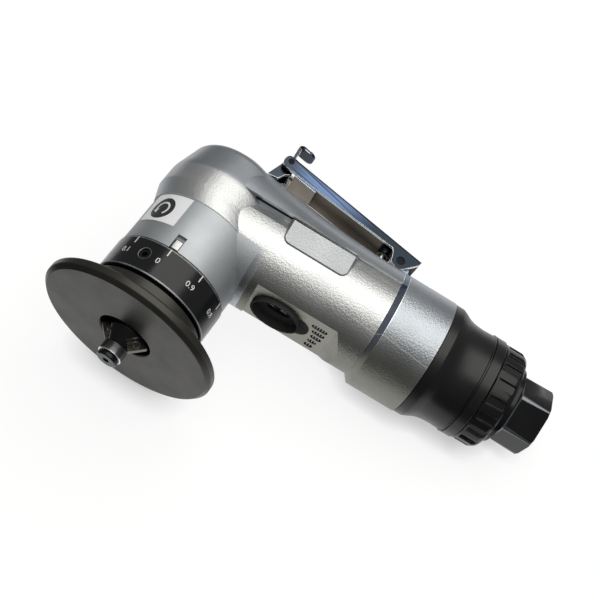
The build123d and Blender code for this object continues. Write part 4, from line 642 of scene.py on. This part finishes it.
# white paint, wiped into engraved marks: matt and a little uneven
white_ink = finish("white_filled_engraving", ("#dcdcd8", "#efefec"), patch=0.6, gloss=(0.5, 0.7),
                   grain=0.3, height=0.01)
# screen ink, printed on film: an even dark grey with a soft gloss
dark_ink = finish("dark_label_print", ("#222427", "#2e3134"), patch=3, gloss=(0.35, 0.45),
                  grain=0.5, height=0.002)
print("worn edges, pins, roller and inks")

# %% [markdown]
# ## Dressing the CAD nodes
# The imported record says which finish each node asks for and which body it rides on. A few
# pieces then get a finish of their own: the roller and its screw for their wear, the key as
# bare drawn steel, the pins painted nearly black as shade, and the exhaust insert painted
# paler as sheen.

# %% Dress the CAD nodes
slot_of = {row["node"]: row["material_slot"] for row in frame["record"]["subparts"]}
body_of = {name: body for body, names in frame["record"]["behaviour"]["bodies"].items()
           for name in names}
for name, node in nodes.items():
    node.data.materials.clear()
    node.data.materials.append(finishes[slot_of[name]])
for name, material in (
    ("guide_roller_outer", roller_steel), ("roller_screw", worn_steel),
    ("lever_pin", pin_painted_shade), ("catch_pin", pin_painted_shade),
    ("exhaust_insert", exhaust_painted_sheen), ("index_key", key_steel),
):
    nodes[name].data.materials[0] = material
print(len(slot_of), "nodes dressed from", len(finishes), "finishes")

# %% [markdown]
# ## Softened edges
# CAD edges are perfectly sharp, and no real edge is. The lever's sheet is tumbled after
# pressing, the hexagon is turned and filed, and moulded parts have the radius of their mould.
# Each shows as a thin bright line. So these nodes are copied, their triangles are joined to
# whole faces again, and every sharp edge gets a small round. Only edges of some length are
# taken where the short ones are the steps of a fine curve. On lever, catch and roller the new
# faces of the rounds get bright bare metal, partly wear and partly a painted highlight; on the
# hexagon they get grey metal, partly spanner wear and partly a painted highlight.

# %% Softened copies
FLAT_ANGLE, SMOOTH_ANGLE, SHARP_ANGLE = radians(0.6), radians(31), radians(32)
SKIN, EDGE, DULL = 0, 1, 2  # places of the materials on a softened copy


def softened(name, width, longer, edge_material=None):
    """Copy of a CAD node with rounded edges, which takes the node's place."""
    bm = bmesh.new()
    bm.from_mesh(nodes[name].data)
    bmesh.ops.remove_doubles(bm, verts=bm.verts, dist=1e-6)
    bmesh.ops.dissolve_limit(bm, angle_limit=FLAT_ANGLE, verts=bm.verts, edges=bm.edges)
    bmesh.ops.recalc_face_normals(bm, faces=bm.faces)
    sharp = [e for e in bm.edges if e.is_manifold and e.calc_face_angle() > SHARP_ANGLE
             and e.calc_length() > longer * MM]
    made = bmesh.ops.bevel(bm, geom=sharp, offset=width * MM, offset_type="OFFSET", segments=3,
                           profile=0.5, affect="EDGES", clamp_overlap=False, material=-1)
    bmesh.ops.recalc_face_normals(bm, faces=bm.faces)
    if bm.calc_volume(signed=True) < 0:
        bmesh.ops.reverse_faces(bm, faces=bm.faces)
    if edge_material:
        for face in made["faces"]:
            face.material_index = EDGE
    piece = object_from(bm, name + "_soft", nodes[name].data.materials[0])
    if edge_material:
        piece.data.materials.append(edge_material)
    piece.data.shade_smooth()
    piece.data.set_sharp_from_angle(angle=SMOOTH_ANGLE)
    even = piece.modifiers.new("flat faces stay flat", "WEIGHTED_NORMAL")
    even.keep_sharp = True
    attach(piece, body_of[name])
    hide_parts(name)
    print(name, len(sharp), "edges softened by", width, "mm")
    return piece


# width of the round and shortest edge that gets one, both in millimetres
softened("inlet_bushing", 1.2, 6.0, spanner_wear_and_highlight)
softened("index_key", 0.8, 0.8)
softened("exhaust_insert", 0.15, 0.3)
softened("cutter_inserts", 0.12, 0.8)
softened("regulator_ring", 0.35, 2.2)
softened("safety_catch", 0.16, 0.9, bare_wear_and_highlight)
softened("guide_roller_outer", 0.35, 0.0, bare_wear_and_highlight)

# %% [markdown]
# On the depth ring only the rounds that face outwards keep the pale metal, partly wear and
# partly a painted highlight line, so the other rounds turn back to black. On the lever the faces
# inside the channel that look inwards or down stay dull, and the lower faces outside it get
# the bright edge metal, partly wear and partly a painted highlight.

# %% Worn ring and lever channel
OUTWARDS, INWARDS, DOWN_INSIDE, DOWN_OUTSIDE = 0.85, -0.5, -0.5, -0.6
CHANNEL_HALF = 5.95 * MM
ring = softened("depth_ring", 0.45, 0.0, anodise_wear_and_highlight)
# only rounds facing outwards keep the pale metal: a painted highlight line as well as wear
for face in ring.data.polygons:
    outwards = Vector((face.center.x, face.center.y, 0)).normalized()
    if face.material_index == EDGE and face.normal.dot(outwards) < OUTWARDS:
        face.material_index = SKIN

channel = softened("lever", 0.2, 0.9, bare_wear_and_highlight)
channel.data.materials.append(dull_inside_and_painted_light)
dull = 0
for face in channel.data.polygons:
    off_middle = abs(face.center.y)
    inwards = face.normal.y * face.center.y < INWARDS * off_middle
    upwards = face.normal.dot(HANDLE_UP)
    if off_middle < CHANNEL_HALF and (inwards or upwards < DOWN_INSIDE):
        face.material_index = DULL
        dull += 1
    # the lower faces outside the channel get the bright edge metal, partly wear and partly a painted
    # highlight
    elif off_middle > CHANNEL_HALF and upwards < DOWN_OUTSIDE:
        face.material_index = EDGE
print("lever:", dull, "dull faces inside")

# %% [markdown]
# ## Two coil springs
# The plunger and the catch are each pushed back by a small spring of drawn wire. A coil is one
# round of wire, spun about its axis and moved along it at every step. The end rounds are capped.
# The plunger's spring shortens with the stroke, so it is attached to neither body and stays in its
# place.

# %% Springs
WIRE, COIL_STEPS = 0.28, 24


def coil(name, axis, outer, length, turns, ends=None):
    """Coil spring about the middle of a CAD node, in its place."""
    low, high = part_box(name)
    middle = (Vector(low) + Vector(high)) / 2
    side = axis.orthogonal().normalized()
    start = middle - axis * (length / 2 - WIRE) * MM + side * (outer - WIRE) * MM
    bm = bmesh.new()
    turn = Matrix((side, axis, side.cross(axis))).transposed().to_4x4()
    wire = bmesh.ops.create_circle(bm, cap_ends=True, radius=WIRE * MM, segments=12,
                                   matrix=Matrix.Translation(start) @ turn)["verts"]
    rise = (length - 2 * WIRE) * MM / (turns * COIL_STEPS)
    bmesh.ops.spin(bm, geom=wire + bm.edges[:] + bm.faces[:], cent=middle, axis=axis,
                   dvec=axis * rise, angle=2 * pi * turns, steps=turns * COIL_STEPS)
    bmesh.ops.remove_doubles(bm, verts=bm.verts, dist=1e-7)
    bmesh.ops.recalc_face_normals(bm, faces=bm.faces)
    piece = object_from(bm, name + "_coil", finishes["spring_steel"])
    piece.data.shade_smooth()
    if ends:
        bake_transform(piece)
    else:
        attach(piece, body_of[name])
    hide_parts(name)
    print(name, turns, "turns,", len(piece.data.polygons), "faces")


coil("valve_spring", HANDLE_UP, outer=2.55, length=4.7, turns=5, ends=("housing", "plunger"))
coil("catch_spring", SIDEWAYS, outer=1.95, length=5.6, turns=6)

# %% [markdown]
# ## Ribs in the vents
# Used air also leaves through five short slots behind the exhaust. Thin cast ribs cross each
# slot a little inside the flat and keep chips out. They are plain blocks, turned with the
# handle, as many as fit between the slot's round ends.

# %% Vent ribs
VENT_ROWS = ((52.1, 55.7), (52.4, 56.2), (52.4, 57.0), (51.8, 57.2), (50.6, 57.2))
VENT_PITCH, VENT_SHIFT, ROUND_ENDS = 4.0, 1.2, 1.6
RIB_PITCH, RIB_LEVEL, RIB_SIZE = 1.1, -15.5, (0.42, 2.6, 1.0)
along_handle = Matrix((HANDLE_DIR, SIDEWAYS, HANDLE_UP)).transposed().to_4x4()
rib_shape = Matrix.Diagonal((*(edge * MM for edge in RIB_SIZE), 1))
bm = bmesh.new()
for row, (start, end) in enumerate(VENT_ROWS):
    count = int((end - start - ROUND_ENDS) / RIB_PITCH) + 1
    first = (start + end) / 2 - (count - 1) * RIB_PITCH / 2
    side = VENT_SHIFT - (row - len(VENT_ROWS) // 2) * VENT_PITCH
    for rib in range(count):
        middle = Matrix.Translation(on_handle(first + RIB_PITCH * rib, RIB_LEVEL, side))
        bmesh.ops.create_cube(bm, size=1, matrix=middle @ along_handle @ rib_shape)
vent_ribs = object_from(bm, "vent_ribs", cast)
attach(vent_ribs, "housing")
print("vent ribs:", len(vent_ribs.data.polygons) // 6)

# %% [markdown]
# ## Thread of the air inlet
# The bushing's bore is tapped for a hose nipple with a pipe thread, 1.34 mm from crest to
# crest. Its ridge is a small triangle with its foot sunk a hair into the bore's wall, spun about
# the handle's axis and moved along it.

# %% Inlet thread
BORE_R, BORE_END, PITCH, THREADS, THREAD_STEPS = 5.72, 143.0, 1.34, 8, 48
FOOT_R, CREST_R = BORE_R + 0.01, BORE_R - 0.5
FOOT_START, CREST_AT, FOOT_END = 0.2, 0.6, 1.0
bm = bmesh.new()
bm.faces.new([bm.verts.new(on_handle(BORE_END - back, radius)) for back, radius in
              ((FOOT_START, FOOT_R), (FOOT_END, FOOT_R), (CREST_AT, CREST_R))])
bmesh.ops.spin(bm, geom=bm.verts[:] + bm.edges[:] + bm.faces[:], cent=HANDLE_START,
               axis=HANDLE_DIR, dvec=-HANDLE_DIR * PITCH * MM / THREAD_STEPS,
               angle=2 * pi * THREADS, steps=THREADS * THREAD_STEPS)
bmesh.ops.remove_doubles(bm, verts=bm.verts, dist=1e-7)
bmesh.ops.recalc_face_normals(bm, faces=bm.faces)
inlet_thread = object_from(bm, "inlet_thread", finishes["black_oxide"])
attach(inlet_thread, body_of["inlet_bushing"])
print("inlet thread:", THREADS, "turns")

# %% [markdown]
# ## Numbers on the depth ring
# One turn of the depth ring moves the plate by one millimetre, so the ring carries ten marks, a
# tenth apart, with the zero under the index key. On the real ring they are engraved and filled
# with white. Text is flat, so each number is made a mesh, divided finely, and then wrapped
# round the ring's cylinder. A little thickness keeps it just proud of the black.

# %% Text and wrapping
DIGIT_SHARE = 0.72  # height of a digit, as a share of the font's size
TEXT_THICK, LONGEST_EDGE = 0.03 * MM, 0.6 * MM


def wrap(bm, radius, angle, height, lift):
    """Bend a flat drawing round the cutter axis: x runs round, y up and z outwards."""
    for vert in bm.verts:
        turned = radians(angle) + vert.co.x / radius
        out = radius + lift + vert.co.z
        vert.co = (out * cos(turned), out * sin(turned), height + vert.co.y)


def drawn_text(words, size):
    """Flat, finely divided bmesh of a few characters, centred."""
    curve = bpy.data.curves.new("words", "FONT")
    curve.body = words
    curve.size = size / DIGIT_SHARE
    curve.align_x = "CENTER"
    curve.extrude = TEXT_THICK
    holder = bpy.data.objects.new("words", curve)
    flat = bpy.data.meshes.new_from_object(holder)
    bm = bmesh.new()
    bm.from_mesh(flat)
    bmesh.ops.remove_doubles(bm, verts=bm.verts, dist=1e-6)
    long_edges = [e for e in bm.edges if e.calc_length() > LONGEST_EDGE]
    bmesh.ops.subdivide_edges(bm, edges=long_edges, cuts=2)
    bpy.data.objects.remove(holder)
    bpy.data.meshes.remove(flat)
    return bm


print("text", TEXT_THICK / MM, "mm thick to each side")

# %% [markdown]
# Each mark is a plain block, wrapped as the numbers are. The numbers stand a few degrees
# beside their marks. All of them are gathered in one mesh, which turns with the ring.

# %% Ring marks
RING_R = 22.9 * MM
KEY_ANGLE, MARK_COUNT, NUMBER_SHIFT = -98.2, 10, -4
DIGIT_HIGH, DIGIT_Z = 2.3 * MM, 20.2 * MM
MARK_LOW, MARK_HIGH, MARK_WIDE, MARK_THICK = 24.6 * MM, 27.6 * MM, 0.45 * MM, 0.06 * MM
marks = bmesh.new()
for tenth in range(MARK_COUNT):
    angle = KEY_ANGLE - 360 / MARK_COUNT * tenth
    tick = bmesh.new()
    bmesh.ops.create_cube(tick, size=1)
    bmesh.ops.scale(tick, vec=(MARK_WIDE, MARK_HIGH - MARK_LOW, MARK_THICK), verts=tick.verts)
    wrap(tick, RING_R, angle, (MARK_LOW + MARK_HIGH) / 2, 0)
    number = drawn_text("0" if tenth == 0 else f"0.{tenth}", DIGIT_HIGH)
    wrap(number, RING_R, angle + NUMBER_SHIFT, DIGIT_Z, 0)
    for part in (tick, number):
        mesh = bpy.data.meshes.new("part")
        part.to_mesh(mesh)
        part.free()
        marks.from_mesh(mesh)
        bpy.data.meshes.remove(mesh)
ring_marks = object_from(marks, "ring_marks", white_ink)
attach(ring_marks, "depth_ring")
print("ring marks:", len(ring_marks.data.polygons), "faces")

# %% [markdown]
# ## Print on the name label
# The label on the nose is pale film with a dark round print, and in it a plain arrow for the
# cutter's sense of turn. The print is a thin disc, divided so that it can bend with the label.
# The arrow is a line spun to three quarters of a ring, with a flat three-sided block as its tip.

# %% Label print
LABEL_R = 22.55 * MM
PRINT_THICK, DISC_LIFT, ARROW_LIFT = 0.02 * MM, 0.02 * MM, 0.05 * MM
DISC_ANGLE, DISC_Z, DISC_R = -136.0, 42.4 * MM, 5.0 * MM
ARROW_IN, ARROW_OUT, TIP_R = 2.3 * MM, 3.1 * MM, 1.35 * MM
ARROW_START, ARROW_SWEEP, TIP_TURN = radians(-60), radians(270), radians(-150)

disc = bmesh.new()
bmesh.ops.create_circle(disc, cap_ends=True, cap_tris=True, radius=DISC_R, segments=64)
spokes = [e for e in disc.edges if e.calc_length() > DISC_R / 2]
bmesh.ops.subdivide_edges(disc, edges=spokes, cuts=7)
bmesh.ops.solidify(disc, geom=disc.faces, thickness=PRINT_THICK)
wrap(disc, LABEL_R, DISC_ANGLE, DISC_Z, DISC_LIFT)
label_disc = object_from(disc, "label_disc", dark_ink)

arrow = bmesh.new()
start_line = [arrow.verts.new((radius * cos(ARROW_START), radius * sin(ARROW_START), 0))
              for radius in (ARROW_IN, ARROW_OUT)]
bmesh.ops.spin(arrow, geom=start_line + [arrow.edges.new(start_line)], cent=(0, 0, 0),
               axis=(0, 0, 1), angle=ARROW_SWEEP, steps=40)
bmesh.ops.remove_doubles(arrow, verts=arrow.verts, dist=1e-7)
bmesh.ops.recalc_face_normals(arrow, faces=arrow.faces)
bmesh.ops.solidify(arrow, geom=arrow.faces, thickness=PRINT_THICK)
to_end = Matrix.Rotation(ARROW_START + ARROW_SWEEP, 4, "Z")
tip_place = Matrix.Translation(to_end @ Vector(((ARROW_IN + ARROW_OUT) / 2, 0, PRINT_THICK / 2)))
bmesh.ops.create_cone(arrow, cap_ends=True, segments=3, radius1=TIP_R, radius2=TIP_R,
                      depth=PRINT_THICK, matrix=tip_place @ Matrix.Rotation(TIP_TURN, 4, "Z"))
wrap(arrow, LABEL_R, DISC_ANGLE, DISC_Z, ARROW_LIFT)
label_arrow = object_from(arrow, "label_arrow", white_ink)
for piece in (label_disc, label_arrow):
    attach(piece, "housing")
print("label print at", DISC_ANGLE, "degrees")

# %% Finish
print("scene dressed")
